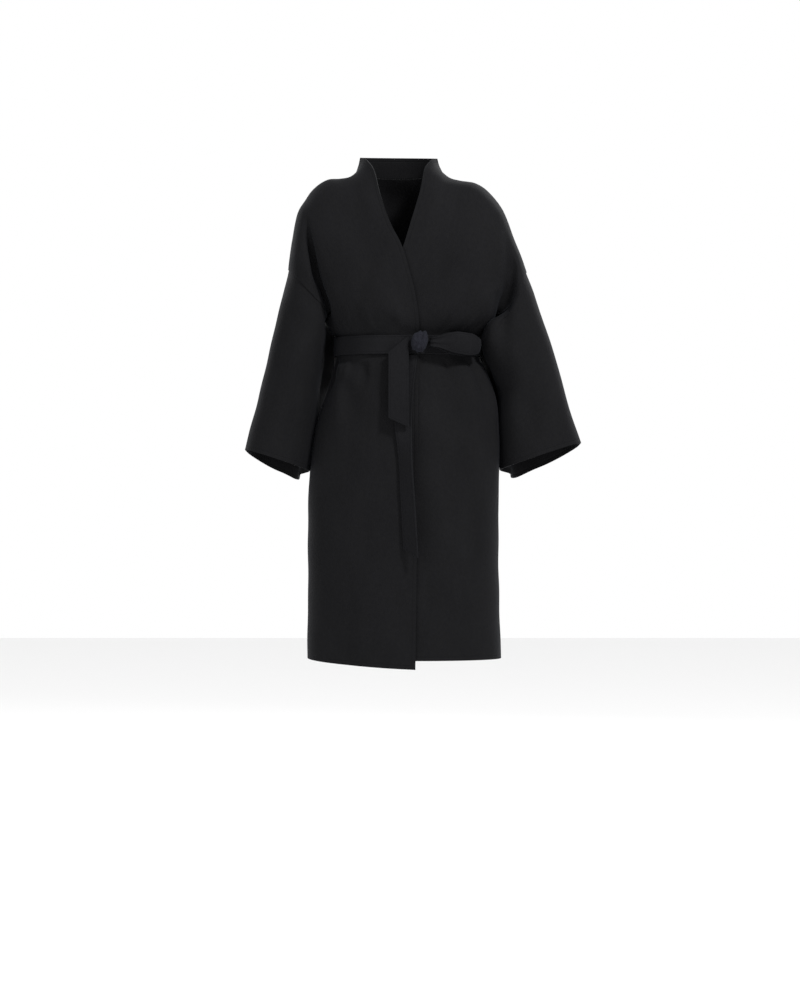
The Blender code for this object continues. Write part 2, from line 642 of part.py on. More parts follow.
# Neck stand: from the collar's end at the wearer's left, round the neck, to the right
collar_left = shoulder_line(SHOULDER_LEFT)[: NECK_SEAM_AT + 1][::-1]
collar_right = shoulder_line(SHOULDER_RIGHT)[: NECK_SEAM_AT + 1][::-1]
share = np.linspace(0, 1, len(neck_seam))
turn = 2 * ROUND * share
rows = []
for left, right in zip(collar_left, collar_right):
    up = (left[2] - collar_left[0][2]) / (collar_left[-1][2] - collar_left[0][2])
    nape = CENTRE_BACK[-1]
    middle_z = (left[2] + right[2]) / 2
    row = np.stack([
        (left[0] + right[0]) / 2 + (left[0] - right[0]) / 2 * np.cos(turn),
        left[1] + (nape.y - STAND_LEAN * up - left[1]) * np.sin(turn),
        left[2] + (right[2] - left[2]) * share + (nape.z + STAND_RISE * up - middle_z) * np.sin(turn),
    ], axis=-1)
    rows.append(row if rows else neck_seam + [0, 0, 2 * SEAM])
grid = np.array(rows)
grid[..., 1] += SEAM
out = facing(grid)
out[:, [0, -1]] = level(out[:, [0, -1]])
finish(cloth("neck_stand", grid, out, CLOTH), WOOL, WOOL_ROUGHNESS)

# Sleeves: tubes from the cuff up to the armhole
for side, name, table in ((-1, "sleeve_right", SLEEVE_RIGHT), (1, "sleeve_left", SLEEVE_LEFT)):
    along = np.array([0, STRIP, *np.linspace(0, 1, SLEEVE_ROWS)[1:]])[::-1]
    phi = -side * np.linspace(0, 4 * ROUND, SLEEVE_COLUMNS + 1)
    grid = grooved(side, ring(table, along[:, None], phi[None, :]))
    out = facing(grid, around=True)
    out[-1] = armhole_facing(side, phi)
    grid[-1] += ARMHOLE_SEAM * sleeve_way(side, phi)
    finish(cloth(name, grid, out, CLOTH, around=True), WOOL, WOOL_ROUGHNESS)

# Belt round the waist: the body's own points there, moved out
heights = np.array([BELT_LOW, -0.335, BELT_TOP])[:, None]
turn = np.linspace(0, 4 * ROUND, BELT_COLUMNS + 1)[None, :]
finish(cloth("belt_waist", *belt_surface(turn, heights, 0.0), BELT, around=True), WOOL, WOOL_ROUGHNESS)

# Knot: a rounded lump with the crease of the band that crosses it
sphere = bmesh.new()
bmesh.ops.create_uvsphere(sphere, u_segments=18, v_segments=12, radius=1)
for vert in sphere.verts:
    way = np.array(vert.co)
    size = (np.abs(way) ** 2.5).sum() ** (-1 / 2.5)
    crease = 1 - 0.12 * np.exp(-(((0.75 * way[0] + 0.55 * way[2] - 0.15) / 0.22) ** 2)) * max(0.0, -way[1])
    vert.co = way * size * crease * KNOT_SIZE
mesh = bpy.data.meshes.new("belt_knot")
sphere.to_mesh(mesh)
sphere.free()
mesh.shade_smooth()
knot = finish(bpy.data.objects.new("belt_knot", mesh), WOOL, WOOL_ROUGHNESS)
knot.location = (KNOT_X, in_front(KNOT_X, KNOT_Z) - CLEAR - KNOT_SIZE[1], KNOT_Z)

# Bow loop: a closed band on the belt, an oval in plan, hanging a little at its far end
near, far = edge_angle(np.array([LOOP_NEAR, LOOP_FAR]), KNOT_Z)
turn = np.linspace(0, 4 * ROUND, LOOP_COLUMNS + 1)[None, :]
reach = np.sign(np.cos(turn)) * np.abs(np.cos(turn)) ** 0.75
bulge = np.sign(np.sin(turn)) * np.abs(np.sin(turn)) ** 0.75
angle = (near + far) / 2 + (far - near) / 2 * reach
across = np.array([-0.5, -0.17, 0.17, 0.5])[:, None]
drop = LOOP_DROP * (reach + 1) / 2
stand = 1.5 * CLEAR + LOOP_DEPTH / 2 * (1 - bulge)
grid, out = belt_surface(angle, KNOT_Z + 0 * across, stand)
grid = grid.copy()
grid[..., 2] = KNOT_Z + LOOP_WIDTH * across - drop
finish(cloth("belt_loop", grid, facing(grid, around=True), BELT, around=True), WOOL, WOOL_ROUGHNESS)

# Long end: hangs behind the short one and turns to its side
share = np.linspace(0, 1, 13)[:, None]
across = np.linspace(-0.5, 0.5, 5)[None, :]
z = LONG_END[0].z + (LONG_END[-1].z - LONG_END[0].z) * share - 2 * LONG_SLANT * across * share ** 6
heights = column(LONG_END, "z")[::-1]
middle, twist = (curve(z, heights, column(LONG_END, name)[::-1]) for name in ("x", "turn"))
x = middle + LONG_WIDTH * across * np.cos(twist)
y = in_front(x, z) - CLEAR - BELT - LONG_WIDTH * (across + 0.5) * np.sin(twist)
grid = np.stack([x, y, z], axis=-1)[::-1]
finish(cloth("belt_end_long", grid, facing(grid), BELT), WOOL, WOOL_ROUGHNESS)

# Short end: from the knot over the belt, in front of the long one
share = np.linspace(0, 1, 9)[:, None]
across = np.linspace(0, 1, 5)[None, :]
top = SHORT_TOPS[0] + (SHORT_TOPS[1] - SHORT_TOPS[0]) * across
low = SHORT_ENDS[0] + (SHORT_ENDS[1] - SHORT_ENDS[0]) * across
z = top + (low - top) * share
x = SHORT_LEFT + (SHORT_RIGHT - SHORT_LEFT) * across + 0 * z
over = (BELT + 2.5 * CLEAR) * step_up((-0.330 - z) / 0.022) + 0.009 * step_up((-0.42 - z) / 0.08)
grid = np.stack([x, in_front(x, z) - CLEAR - BELT - over, z], axis=-1)[::-1]
finish(cloth("belt_end_short", grid, facing(grid), BELT), WOOL, WOOL_ROUGHNESS)

# Carriers: an upright strip over the belt at each side seam, from the bodice down to the skirt
for side, name in ((-1, "carrier_right"), (1, "carrier_left")):
    seam = np.abs(body(side * ROUND, np.array(SKIRT_HEIGHTS))[:, 0])
    waist = SKIRT_HEIGHTS.index(-0.335)
    reach = seam[waist - 1: waist + 2].max() + CLEAR + BELT + CLEAR + CARRIER_CLOTH
    under = reach - CARRIER_CLOTH
    below = slice(waist, waist - 4, -1)
    high = np.interp(under, seam[waist:], SKIRT_HEIGHTS[waist:]) - CLEAR
    low = np.interp(under, seam[below], SKIRT_HEIGHTS[below]) + CLEAR
    across = side * CARRIER_WIDTH * np.array([0.5, -0.5])[::-1]
    grid = np.array([[(side * reach, y, z) for y in across] for z in np.linspace(low, high, 3)])
    finish(cloth(name, grid, facing(grid), CARRIER_CLOTH), WOOL, WOOL_ROUGHNESS)
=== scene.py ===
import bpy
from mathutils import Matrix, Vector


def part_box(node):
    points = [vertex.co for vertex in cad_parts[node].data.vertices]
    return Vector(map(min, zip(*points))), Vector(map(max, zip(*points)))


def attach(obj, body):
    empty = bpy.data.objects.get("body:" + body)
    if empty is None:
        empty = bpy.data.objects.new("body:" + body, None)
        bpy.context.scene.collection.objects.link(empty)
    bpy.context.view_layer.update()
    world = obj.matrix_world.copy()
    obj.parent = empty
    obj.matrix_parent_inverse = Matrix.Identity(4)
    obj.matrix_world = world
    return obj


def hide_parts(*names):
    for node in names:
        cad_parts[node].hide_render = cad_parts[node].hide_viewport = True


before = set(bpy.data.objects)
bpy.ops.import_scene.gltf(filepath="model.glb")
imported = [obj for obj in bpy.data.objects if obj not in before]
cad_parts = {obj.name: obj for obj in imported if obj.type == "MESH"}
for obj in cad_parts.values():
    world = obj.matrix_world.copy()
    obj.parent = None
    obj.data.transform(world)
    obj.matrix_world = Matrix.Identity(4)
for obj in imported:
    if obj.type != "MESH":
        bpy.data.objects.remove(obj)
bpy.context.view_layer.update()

from collections import namedtuple

import bpy
import numpy as np

# Camera: level, six metres in front of the coat and at the middle of its picture, so that at the
# side seams 2 mm of coat make one pixel of an 800 x 1000 frame.
AWAY = 6.0
PICTURE_MIDDLE = (-0.010, -0.640)  # x and z
PICTURE_HEIGHT = 2.0  # at the side seams
SENSOR = 36


def placed(name, data):
    """A new object that shows these data, linked to the scene."""
    made = bpy.data.objects.new(name, data)
    bpy.context.scene.collection.objects.link(made)
    return made


camera = placed("camera", bpy.data.cameras.new("camera"))
camera.location = (PICTURE_MIDDLE[0], -AWAY, PICTURE_MIDDLE[1])
camera.rotation_euler = (np.pi / 2, 0, 0)
camera.data.sensor_width = SENSOR
camera.data.lens = SENSOR * AWAY / PICTURE_HEIGHT
bpy.context.scene.camera = camera

# Back: wool coating cut in one, 3 mm thick and napped on both faces. Its side seams, shoulder
# seams, armholes and neck seam are sewn by hand, so they show as soft valleys with no stitches.
CLOTH = 0.003
ROUND = np.pi / 2
UNDERARM = -0.285
HEM = -0.955
BELT_TOP = -0.3165
BELT_LOW = -0.3535


def bell(x):
    """A bell: e to the power of minus x squared."""
    return np.exp(-(x ** 2))


def bent(x, power):
    """x to a power, with its sign kept."""
    return np.sign(x) * np.abs(x) ** power


def rows_of(kind, rows):
    """A table: rows of numbers, under the names of their columns."""
    return [kind(*row) for row in rows]


# Tables for both sides have the wearer's right under -1 and the left under 1. This one is the body's
# horizontal sections: half widths to each side, depths to front and back, squareness
Section = namedtuple("Section", "z right left front back power")
BODY = rows_of(Section, [
    (-0.98, 0.196, 0.193, 0.138, 0.141, 2.4),
    (-0.8, 0.194, 0.187, 0.136, 0.14, 2.4),
    (-0.64, 0.193, 0.187, 0.135, 0.139, 2.4),
    (-0.56, 0.188, 0.189, 0.134, 0.138, 2.4),
    (-0.49, 0.177, 0.188, 0.132, 0.136, 2.3),
    (-0.435, 0.16, 0.181, 0.128, 0.131, 2.3),
    (-0.395, 0.146, 0.168, 0.123, 0.124, 2.2),
    (-0.36, 0.138, 0.149, 0.1165, 0.115, 2.2),
    (-0.334, 0.137, 0.147, 0.116, 0.114, 2.2),
    (-0.313, 0.138, 0.148, 0.117, 0.115, 2.2),
    (-0.3, 0.146, 0.163, 0.1235, 0.121, 2.2),
    (-0.285, 0.158, 0.181, 0.13, 0.128, 2.3),
    (-0.24, 0.17, 0.2, 0.134, 0.131, 2.3),
    (-0.19, 0.18, 0.2, 0.132, 0.131, 2.3),
    (-0.14, 0.185, 0.2, 0.125, 0.128, 2.3),
    (-0.06, 0.19, 0.2, 0.105, 0.11, 2.3),
])

# Points up a front edge, or up the centre back
EdgeHigh = namedtuple("EdgeHigh", "x y z")
CENTRE_BACK = rows_of(EdgeHigh, [
    (0, 0.128, -0.285), (-0.003, 0.132, -0.22), (-0.006, 0.129, -0.15), (-0.009, 0.118, -0.08),
    (-0.012, 0.1, -0.025), (-0.012, 0.08, 0.01),
])

# Shoulder lines: down the side of the collar, along the shoulder and down to the sleeve seam
Shoulder = namedtuple("Shoulder", "x z")
SHOULDER = {-1: rows_of(Shoulder, [
    (-0.09, 0.046), (-0.0935, 0.03), (-0.0985, 0.016), (-0.11, 0.006), (-0.13, 0.001),
    (-0.154, -0.001), (-0.172, -0.01), (-0.189, -0.025), (-0.2, -0.042), (-0.212, -0.062),
    (-0.22, -0.088), (-0.226, -0.12), (-0.23, -0.155), (-0.233, -0.18),
]), 1: rows_of(Shoulder, [
    (0.065, 0.044), (0.069, 0.029), (0.076, 0.016), (0.092, 0.003), (0.11, -0.002),
    (0.142, -0.008), (0.158, -0.017), (0.175, -0.033), (0.195, -0.06), (0.206, -0.084),
    (0.218, -0.116), (0.231, -0.15), (0.242, -0.186),
])}
NECK_SEAM_AT = 2
COLLAR_SHARE = 0.12  # share of a front's upper edge that is the side of its collar
SEAM_BACK = 0.010
SLEEVE_DEEP = 0.09  # half depth of a sleeve
BLUNT = 0.88  # power of a sleeve's oval, and how much less it is behind
BLUNTER = 0.21
POINTED = 0.8  # how pointed the oval is under the arm

# Sleeves: outer and inner line in front view, depths, inward shift of the back, drop of the back
Cuff = namedtuple("Cuff", "along outer_x outer_z inner_x inner_z front back shift drop")
SLEEVE = {-1: rows_of(Cuff, [
    (0, -0.233, -0.18, -0.158, -0.285, 0.093, 0.093, 0, 0),
    (0.15, -0.246, -0.24, -0.16, -0.33, 0.092, 0.094, 0.022, 0.002),
    (0.35, -0.263, -0.32, -0.165, -0.382, 0.09, 0.094, 0.044, 0.004),
    (0.55, -0.281, -0.396, -0.173, -0.434, 0.088, 0.092, 0.028, 0.007),
    (0.75, -0.301, -0.468, -0.187, -0.494, 0.086, 0.09, 0.012, 0.01),
    (1, -0.32, -0.54, -0.2, -0.582, 0.084, 0.09, 0.006, 0.013),
]), 1: rows_of(Cuff, [
    (0, 0.242, -0.186, 0.181, -0.285, 0.093, 0.093, 0, 0),
    (0.15, 0.262, -0.24, 0.168, -0.33, 0.092, 0.094, 0.018, 0.002),
    (0.35, 0.284, -0.312, 0.174, -0.382, 0.09, 0.094, 0.038, 0.004),
    (0.55, 0.306, -0.386, 0.19, -0.438, 0.088, 0.092, 0.022, 0.007),
    (0.75, 0.328, -0.456, 0.199, -0.5, 0.086, 0.09, 0.008, 0.01),
    (1, 0.352, -0.526, 0.203, -0.58, 0.084, 0.09, 0.004, 0.013),
])}

# Grooves where the bodice folds in beside each sleeve, drawn in front view from top to underarm
Groove = namedtuple("Groove", "x z depth width")
GROOVE = {-1: rows_of(Groove, [
    (-0.198, -0.05, 0, 0.014), (-0.196, -0.1, 0.009, 0.012), (-0.187, -0.15, 0.016, 0.012),
    (-0.177, -0.19, 0.02, 0.012), (-0.167, -0.23, 0.021, 0.013), (-0.158, -0.285, 0.001, 0.016),
]), 1: rows_of(Groove, [
    (0.184, -0.06, 0, 0.014), (0.197, -0.104, 0.006, 0.015), (0.204, -0.15, 0.011, 0.015),
    (0.208, -0.19, 0.017, 0.015), (0.206, -0.235, 0.019, 0.016), (0.186, -0.285, 0.001, 0.016),
])}
GROOVE_BEHIND = 0.4  # a groove's depth behind, as a share of its depth in front

# Where the top of each sleeve hangs over that groove in front: how far, and from how far out
Overhang = namedtuple("Overhang", "z start shift")
OVERHANG = {-1: rows_of(Overhang, [
    (-0.165, 0.168, 0), (-0.19, 0.162, 0.004), (-0.226, 0.15, 0.011), (-0.26, 0.143, 0.018),
    (-0.285, 0.157, 0.02), (-0.31, 0.152, 0.016), (-0.345, 0.15, 0.006), (-0.375, 0.15, 0),
]), 1: rows_of(Overhang, [
    (-0.235, 0.19, 0), (-0.26, 0.182, 0.008), (-0.285, 0.172, 0.02), (-0.31, 0.156, 0.026),
    (-0.335, 0.154, 0.024), (-0.36, 0.154, 0.016), (-0.39, 0.158, 0.006), (-0.42, 0.165, 0),
])}
HANG_IN = 0.024  # lengths over which that shift fades in, stays, fades out, and fades in from y = 0
HANG_STAY = 0.035
HANG_OUT = 0.050
HANG_AHEAD = 0.040

# Folds that start at the belt: where on the form, how long, how wide and how far out (or in)
Fold = namedtuple("Fold", "angle top bottom width rise drift")
FOLDS = rows_of(Fold, [
    (-1.02, -0.235, -0.306, 0.1, -0.005, 0.1), (-0.78, -0.225, -0.306, 0.09, 0.006, 0.06),
    (-0.52, -0.24, -0.306, 0.09, -0.005, -0.05), (0.62, -0.23, -0.306, 0.1, 0.005, 0.04),
    (1.1, -0.225, -0.3, 0.12, 0.006, 0.02), (-1.05, -0.362, -0.56, 0.16, 0.007, 0.45),
    (-0.62, -0.364, -0.47, 0.12, -0.004, 0.2), (0.75, -0.362, -0.6, 0.14, 0.004, -0.05),
    (1.2, -0.362, -0.7, 0.15, 0.005, 0), (2.3, -0.215, -0.306, 0.12, 0.006, 0),
    (2.75, -0.23, -0.306, 0.1, -0.005, 0.05), (3.4, -0.22, -0.306, 0.12, 0.006, -0.05),
    (3.95, -0.23, -0.306, 0.11, -0.005, 0), (2.15, -0.362, -0.62, 0.15, 0.006, -0.06),
    (2.85, -0.362, -0.56, 0.14, -0.005, 0.04), (3.6, -0.362, -0.68, 0.16, 0.006, 0.05),
    (4.2, -0.362, -0.6, 0.14, 0.004, 0),
])

# The finer gathers that the belt draws, above and below it
GATHERS = rows_of(Fold, [
    (-1.32, -0.262, -0.3125, 0.05, 0.003, 0.02), (-1.12, -0.27, -0.3125, 0.04, -0.0026, 0.01),
    (-0.91, -0.252, -0.3125, 0.045, 0.0034, 0.03), (-0.69, -0.266, -0.3125, 0.036, -0.0028, 0),
    (-0.41, -0.258, -0.3125, 0.05, 0.0026, -0.03), (0.45, -0.262, -0.3125, 0.045, -0.0022, 0.02),
    (0.8, -0.256, -0.3125, 0.04, 0.003, 0), (0.98, -0.268, -0.3125, 0.036, -0.0026, 0.02),
    (1.3, -0.254, -0.3125, 0.05, 0.0032, -0.02), (-1.28, -0.358, -0.44, 0.05, -0.0026, 0.05),
    (-0.88, -0.358, -0.425, 0.045, 0.0026, 0.06), (-0.47, -0.358, -0.45, 0.055, 0.0024, 0.06),
    (0.52, -0.358, -0.44, 0.05, -0.0022, 0), (0.95, -0.358, -0.47, 0.055, -0.0028, 0.03),
    (1.36, -0.358, -0.43, 0.045, 0.0024, 0), (1.85, -0.255, -0.3125, 0.05, 0.0032, 0.03),
    (2.08, -0.268, -0.3125, 0.04, -0.0028, 0), (2.52, -0.25, -0.3125, 0.05, 0.003, -0.03),
    (2.96, -0.262, -0.3125, 0.045, 0.0032, 0.02), (3.18, -0.27, -0.3125, 0.036, -0.0028, 0),
    (3.66, -0.256, -0.3125, 0.045, 0.003, 0.02), (4.15, -0.264, -0.3125, 0.045, 0.0028, -0.02),
    (4.42, -0.258, -0.3125, 0.04, -0.0026, 0), (1.92, -0.358, -0.45, 0.055, -0.0026, 0.02),
    (2.5, -0.358, -0.43, 0.045, 0.0028, 0), (3.15, -0.358, -0.47, 0.055, 0.0028, -0.03),
    (3.88, -0.358, -0.44, 0.05, -0.0026, 0.02), (4.48, -0.358, -0.43, 0.045, 0.0026, 0),
])
FOLD_GAIN = 1.25  # what the rises of both tables are multiplied by
GATHER_GAIN = 1.8
BELT_FADE = 0.014  # folds and gathers start within this length of the belt
SIDE_HANG = {-1: 0.007, 1: 0.012}  # how far the bodice hangs over the belt at each side

# Longer creases across the panels and sleeves, drawn in front view; face -1 is the front
Crease = namedtuple("Crease", "face x0 z0 x1 z1 bow width rise peak")
CREASES = rows_of(Crease, [
    (-1, -0.197, -0.056, -0.163, -0.25, 0.005, 0.0044, -0.0085, 0.5),
    (-1, -0.179, -0.176, -0.14, -0.306, -0.001, 0.0036, -0.004, 0.55),
    (-1, -0.15, -0.13, -0.118, -0.3, 0.01, 0.018, 0.0035, 0.6),
    (-1, -0.064, -0.16, -0.014, -0.292, 0.01, 0.016, 0.003, 0.85),
    (-1, -0.03, -0.245, 0.004, -0.306, 0.002, 0.008, 0.0028, 0.75),
    (-1, 0.088, -0.14, 0.052, -0.3, -0.01, 0.018, 0.003, 0.75),
    (-1, 0.16, -0.15, 0.124, -0.3, -0.008, 0.015, 0.0035, 0.65),
    (-1, 0.182, -0.218, 0.158, -0.3, -0.004, 0.0085, -0.0045, 0.3),
    (-1, 0.214, -0.19, 0.196, -0.35, 0.01, 0.011, -0.01, 0.55),
    (-1, 0.196, -0.07, 0.212, -0.215, -0.006, 0.01, -0.004, 0.7),
    (-1, 0.2, -0.3, 0.23, -0.43, -0.006, 0.014, 0.003, 0.35),
    (-1, 0.262, -0.25, 0.3, -0.47, -0.01, 0.02, 0.0035, 0.45),
    (-1, 0.235, -0.39, 0.262, -0.56, 0.006, 0.017, -0.003, 0.6),
    (-1, -0.19, -0.3, -0.226, -0.45, 0.008, 0.015, 0.0032, 0.35),
    (-1, -0.244, -0.25, -0.272, -0.5, 0.008, 0.019, 0.0034, 0.45),
    (-1, -0.215, -0.42, -0.236, -0.565, -0.006, 0.016, -0.003, 0.6),
    (-1, -0.232, -0.165, -0.205, -0.33, 0.01, 0.012, -0.003, 0.5),
    (-1, -0.138, -0.372, -0.052, -0.52, -0.022, 0.015, 0.0042, 0.25),
    (-1, -0.104, -0.52, -0.092, -0.86, 0.006, 0.026, 0.0035, 0.45),
    (-1, 0.08, -0.4, 0.098, -0.76, -0.008, 0.024, -0.0035, 0.35),
    (-1, 0.15, -0.5, 0.16, -0.9, 0.004, 0.024, 0.0045, 0.4),
    (-1, -0.03, -0.6, -0.024, -0.94, 0.004, 0.024, -0.0028, 0.6),
    (1, -0.175, -0.12, -0.06, -0.295, 0.016, 0.016, 0.004, 0.6),
    (1, -0.14, -0.06, -0.02, -0.22, 0.02, 0.022, 0.0035, 0.5),
    (1, 0.185, -0.13, 0.065, -0.29, -0.016, 0.016, 0.0042, 0.6),
    (1, 0.13, -0.06, 0.02, -0.25, -0.018, 0.02, 0.0035, 0.5),
    (1, -0.17, -0.18, -0.118, -0.305, 0.006, 0.01, -0.0045, 0.55),
    (1, 0.18, -0.19, 0.128, -0.3, -0.006, 0.01, -0.0045, 0.55),
    (1, -0.11, -0.38, -0.07, -0.62, 0.008, 0.02, 0.0045, 0.3),
    (1, 0.05, -0.38, 0.036, -0.64, 0.006, 0.02, -0.004, 0.3),
    (1, 0.12, -0.39, 0.14, -0.76, -0.006, 0.023, 0.0045, 0.35),
    (1, -0.02, -0.5, -0.014, -0.92, 0.005, 0.026, 0.0035, 0.5),
    (1, -0.25, -0.24, -0.23, -0.48, 0.01, 0.018, 0.004, 0.45),
    (1, -0.205, -0.33, -0.215, -0.54, 0.006, 0.014, -0.0035, 0.45),
    (1, 0.262, -0.24, 0.262, -0.47, -0.01, 0.018, 0.004, 0.45),
    (1, 0.206, -0.33, 0.24, -0.54, 0.006, 0.014, -0.0035, 0.45),
])
CREASE_GAIN = 1.25  # what their rises are multiplied by
TROUGH = 0.5  # depth, distance and width of the trough beside a ridge, as shares of the ridge's
TROUGH_OFF = 1.7
TROUGH_WIDE = 1.2
UNEVEN = 0.0006  # height of the long waves under the creases

# Grid lines, in metres apart
YOKE_ROWS = 66
FRONT_COLUMNS = 84
NECK_COLUMNS = 14
SLEEVE_ROWS = 78
SLEEVE_COLUMNS = 2 * YOKE_ROWS
EDGE_LINES = np.array([0.0, 0.0016, 0.0045])
ROLL = 0.0009  # rounding of every cut edge
SKIRT_HEIGHTS = np.array([*(HEM + EDGE_LINES), *np.linspace(HEM + 0.010, -0.400, 92),
                          *np.linspace(-0.396, UNDERARM, 30)])
YOKE_STEPS = np.array([*np.linspace(0, 1, YOKE_ROWS + 1)[1:-1], 1 - 0.005, 1.0])
FIRST_YOKE = len(SKIRT_HEIGHTS) - 1
FRONT_WIDTH = 0.34
CLOSER_TO_SIDE = np.interp(np.linspace(0, 1, FRONT_COLUMNS - 5), [0, 0.44, 1], [0.026, 0.54, 0.990])
EDGE_TO_SIDE = np.array([*(EDGE_LINES / FRONT_WIDTH), *CLOSER_TO_SIDE, 0.996, 1.0])


def column(table, name):
    """One named column of a table as an array."""
    return np.array([getattr(row, name) for row in table], float)


def curve(x, xs, ys):
    """Smooth curve through the points (xs, ys), with xs rising, read at x: a cubic in each span,
    with the slopes that straight lines to the neighbours give."""
    x = np.clip(x, xs[0], xs[-1])
    slope = np.gradient(ys, xs)
    k = np.clip(np.searchsorted(xs, x) - 1, 0, len(xs) - 2)
    step = xs[k + 1] - xs[k]
    f = (x - xs[k]) / step
    ease = f * f * (3 - 2 * f)
    bow = step * f * (1 - f) * ((1 - f) * slope[k] - f * slope[k + 1])
    return ys[k] * (1 - ease) + ys[k + 1] * ease + bow


def read(table, at, *names, by="z"):
    """Named columns of a table, each a smooth curve through its rows, at a height or another value."""
    rows = sorted(table, key=lambda row: getattr(row, by))
    return [curve(at, column(rows, by), column(rows, name)) for name in names]


def length(vectors):
    """Length of each vector, with its last axis kept."""
    return np.linalg.norm(vectors, axis=-1, keepdims=True)


def unit(vectors):
    """Each vector over its length."""
    return vectors / length(vectors)


def steps(points, axis):
    """Distances between neighbours along one axis of a grid or line of points."""
    return np.linalg.norm(np.diff(points, axis=axis), axis=-1)


def line_through(points, s):
    """Point at share s of a line's length, for points given as rows of x, y, z."""
    run = np.r_[0, np.cumsum(steps(points, 0))]
    return np.stack([curve(s, run / run[-1], points[:, k]) for k in range(3)], axis=-1)


def step_up(f):
    """0 before 0, 1 after 1, and a smooth rise between: three f squared less two f cubed."""
    f = np.clip(f, 0, 1)
    return f * f * (3 - 2 * f)


def body(angle, z):
    """Body form: angle 0 faces the front, a quarter turn is the wearer's left side.

    x is the half width times the sine of the angle to the power 2 over the section's power, and
    y is minus the depth times the cosine to the same power, each with its sign.
    """
    angle, z = np.broadcast_arrays(angle, z)
    right, left, front, back, power = read(BODY, z, *Section._fields[1:])
    across = np.sin(angle)
    ahead = np.cos(angle)
    x = np.where(across < 0, right, left) * bent(across, 2 / power)
    y = np.where(ahead > 0, front, back) * -bent(ahead, 2 / power)
    return np.stack([x, y, z], axis=-1)


def folded(points, angle):
    """The body's points moved out or in by the belt's folds, each a bell across, eased along.

    At both sides the bodice also hangs over the belt a little.
    """
    z = points[..., 2]
    turn = np.mod(angle + ROUND, 4 * ROUND) - ROUND
    rise = np.zeros(z.shape)
    for fold in FOLDS + GATHERS:
        along = (fold.top - z) / (fold.top - fold.bottom)
        middle = fold.angle + fold.drift * along
        across = bell((turn - middle) / fold.width)
        near_belt = fold.top if fold.bottom < BELT_LOW else fold.bottom
        far_end = fold.bottom if fold.bottom < BELT_LOW else fold.top
        from_end = np.abs(far_end - z) / abs(far_end - near_belt)
        fade = step_up(np.abs(z - near_belt) / BELT_FADE) * step_up(from_end / 0.8)
        gain = FOLD_GAIN if fold in FOLDS else GATHER_GAIN
        rise += gain * fold.rise * across * fade * ((along > 0) & (along < 1))
    beside = bell(np.cos(turn) / 0.5) * np.where(np.sin(turn) > 0, SIDE_HANG[1], SIDE_HANG[-1])
    rise += beside * step_up((z - BELT_TOP - 0.002) / 0.008) * (1 - step_up((z - BELT_TOP - 0.014) / 0.022))
    out = np.stack([np.sin(turn), -np.cos(turn), 0 * turn], axis=-1)
    return points + out * rise[..., None]


def ring(side, along, phi):
    """Sleeve form: phi 0 is the outer line, a quarter turn the front, half a turn the underarm.

    An oval between the outer and the inner line, blunter behind, and pointed at the underarm
    where the sleeve starts.
    """
    along, phi = np.broadcast_arrays(along, phi)
    outer_x, outer_z, inner_x, inner_z, front, back, shift, drop = read(
        SLEEVE[side], along, *Cuff._fields[1:], by="along")
    mid_x = (outer_x + inner_x) / 2
    mid_z = (outer_z + inner_z) / 2
    square = BLUNT - BLUNTER * step_up(along / 0.3) * step_up(-np.sin(phi) / 0.3)
    reach = bent(np.cos(phi), square)
    pointed = 1 - np.arccos(np.cos(phi)) / ROUND
    share = POINTED * (1 - step_up(along / 0.25)) * (pointed < 0)
    reach = reach * (1 - share) + pointed * share
    ahead = bent(np.sin(phi), square)
    depth = np.where(ahead > 0, front, back) * ahead
    x = mid_x + (outer_x - mid_x) * reach - side * shift * np.clip(-ahead, 0, 1)
    z = mid_z + (outer_z - mid_z) * reach + drop * ahead
    return np.stack([x, -depth, z], axis=-1)


def grooved(side, points):
    """Points drawn in along the groove beside the sleeve: a bell across the groove's line."""
    x, y, z = np.moveaxis(points, -1, 0)
    top, bottom = GROOVE[side][0].z, GROOVE[side][-1].z
    middle, depth, width = read(GROOVE[side], z, "x", "depth", "width")
    fade = step_up((z - bottom) / 0.03 + 1) * step_up((top - z) / 0.02)
    push = depth * bell((x - middle) / width) * fade * np.where(y > 0, GROOVE_BEHIND, 1)
    return np.stack([x, y * (1 - push / SLEEVE_DEEP), z], axis=-1)


def overhung(side, points):
    """Points in front moved towards the middle where the sleeve hangs over the groove beside it.

    The shift fades in from where the table starts, and out again along the sleeve and to y = 0.
    """
    x, y, z = np.moveaxis(points, -1, 0)
    start, shift = read(OVERHANG[side], z, "start", "shift")
    past = np.abs(x) - start
    share = step_up(past / HANG_IN) * (1 - step_up((past - HANG_STAY) / HANG_OUT))
    return np.stack([x - side * shift * share * step_up(-y / HANG_AHEAD), y, z], axis=-1)


def sleeve_way(side, phi):
    """Direction in which the sleeve leaves the armhole."""
    return unit(grooved(side, ring(side, 0.03, phi)) - grooved(side, ring(side, 0.0, phi)))


def shoulder_line(side):
    """Points of a shoulder line, which comes forward to y = 0 at the sleeve."""
    table = SHOULDER[side]
    y = SEAM_BACK * (1 - np.linspace(0, 1, len(table))) ** 0.7
    return np.stack([column(table, "x"), y, column(table, "z")], axis=-1)


def neck_line(side):
    """Neck seam from the nape to the shoulder line of one side, a quarter of an oval."""
    end = shoulder_line(side)[NECK_SEAM_AT]
    nape = np.array(CENTRE_BACK[-1], float)
    turn = np.linspace(ROUND, 0, 9)[:, None]
    middle = np.array([nape[0], end[1], 0])
    oval = middle + np.cos(turn) * [end[0] - nape[0], 0, 0] + np.sin(turn) * [0, nape[1] - end[1], 0]
    oval[:, 2] = nape[2] + (end[2] - nape[2]) * (1 - np.sin(turn[:, 0]))
    return oval


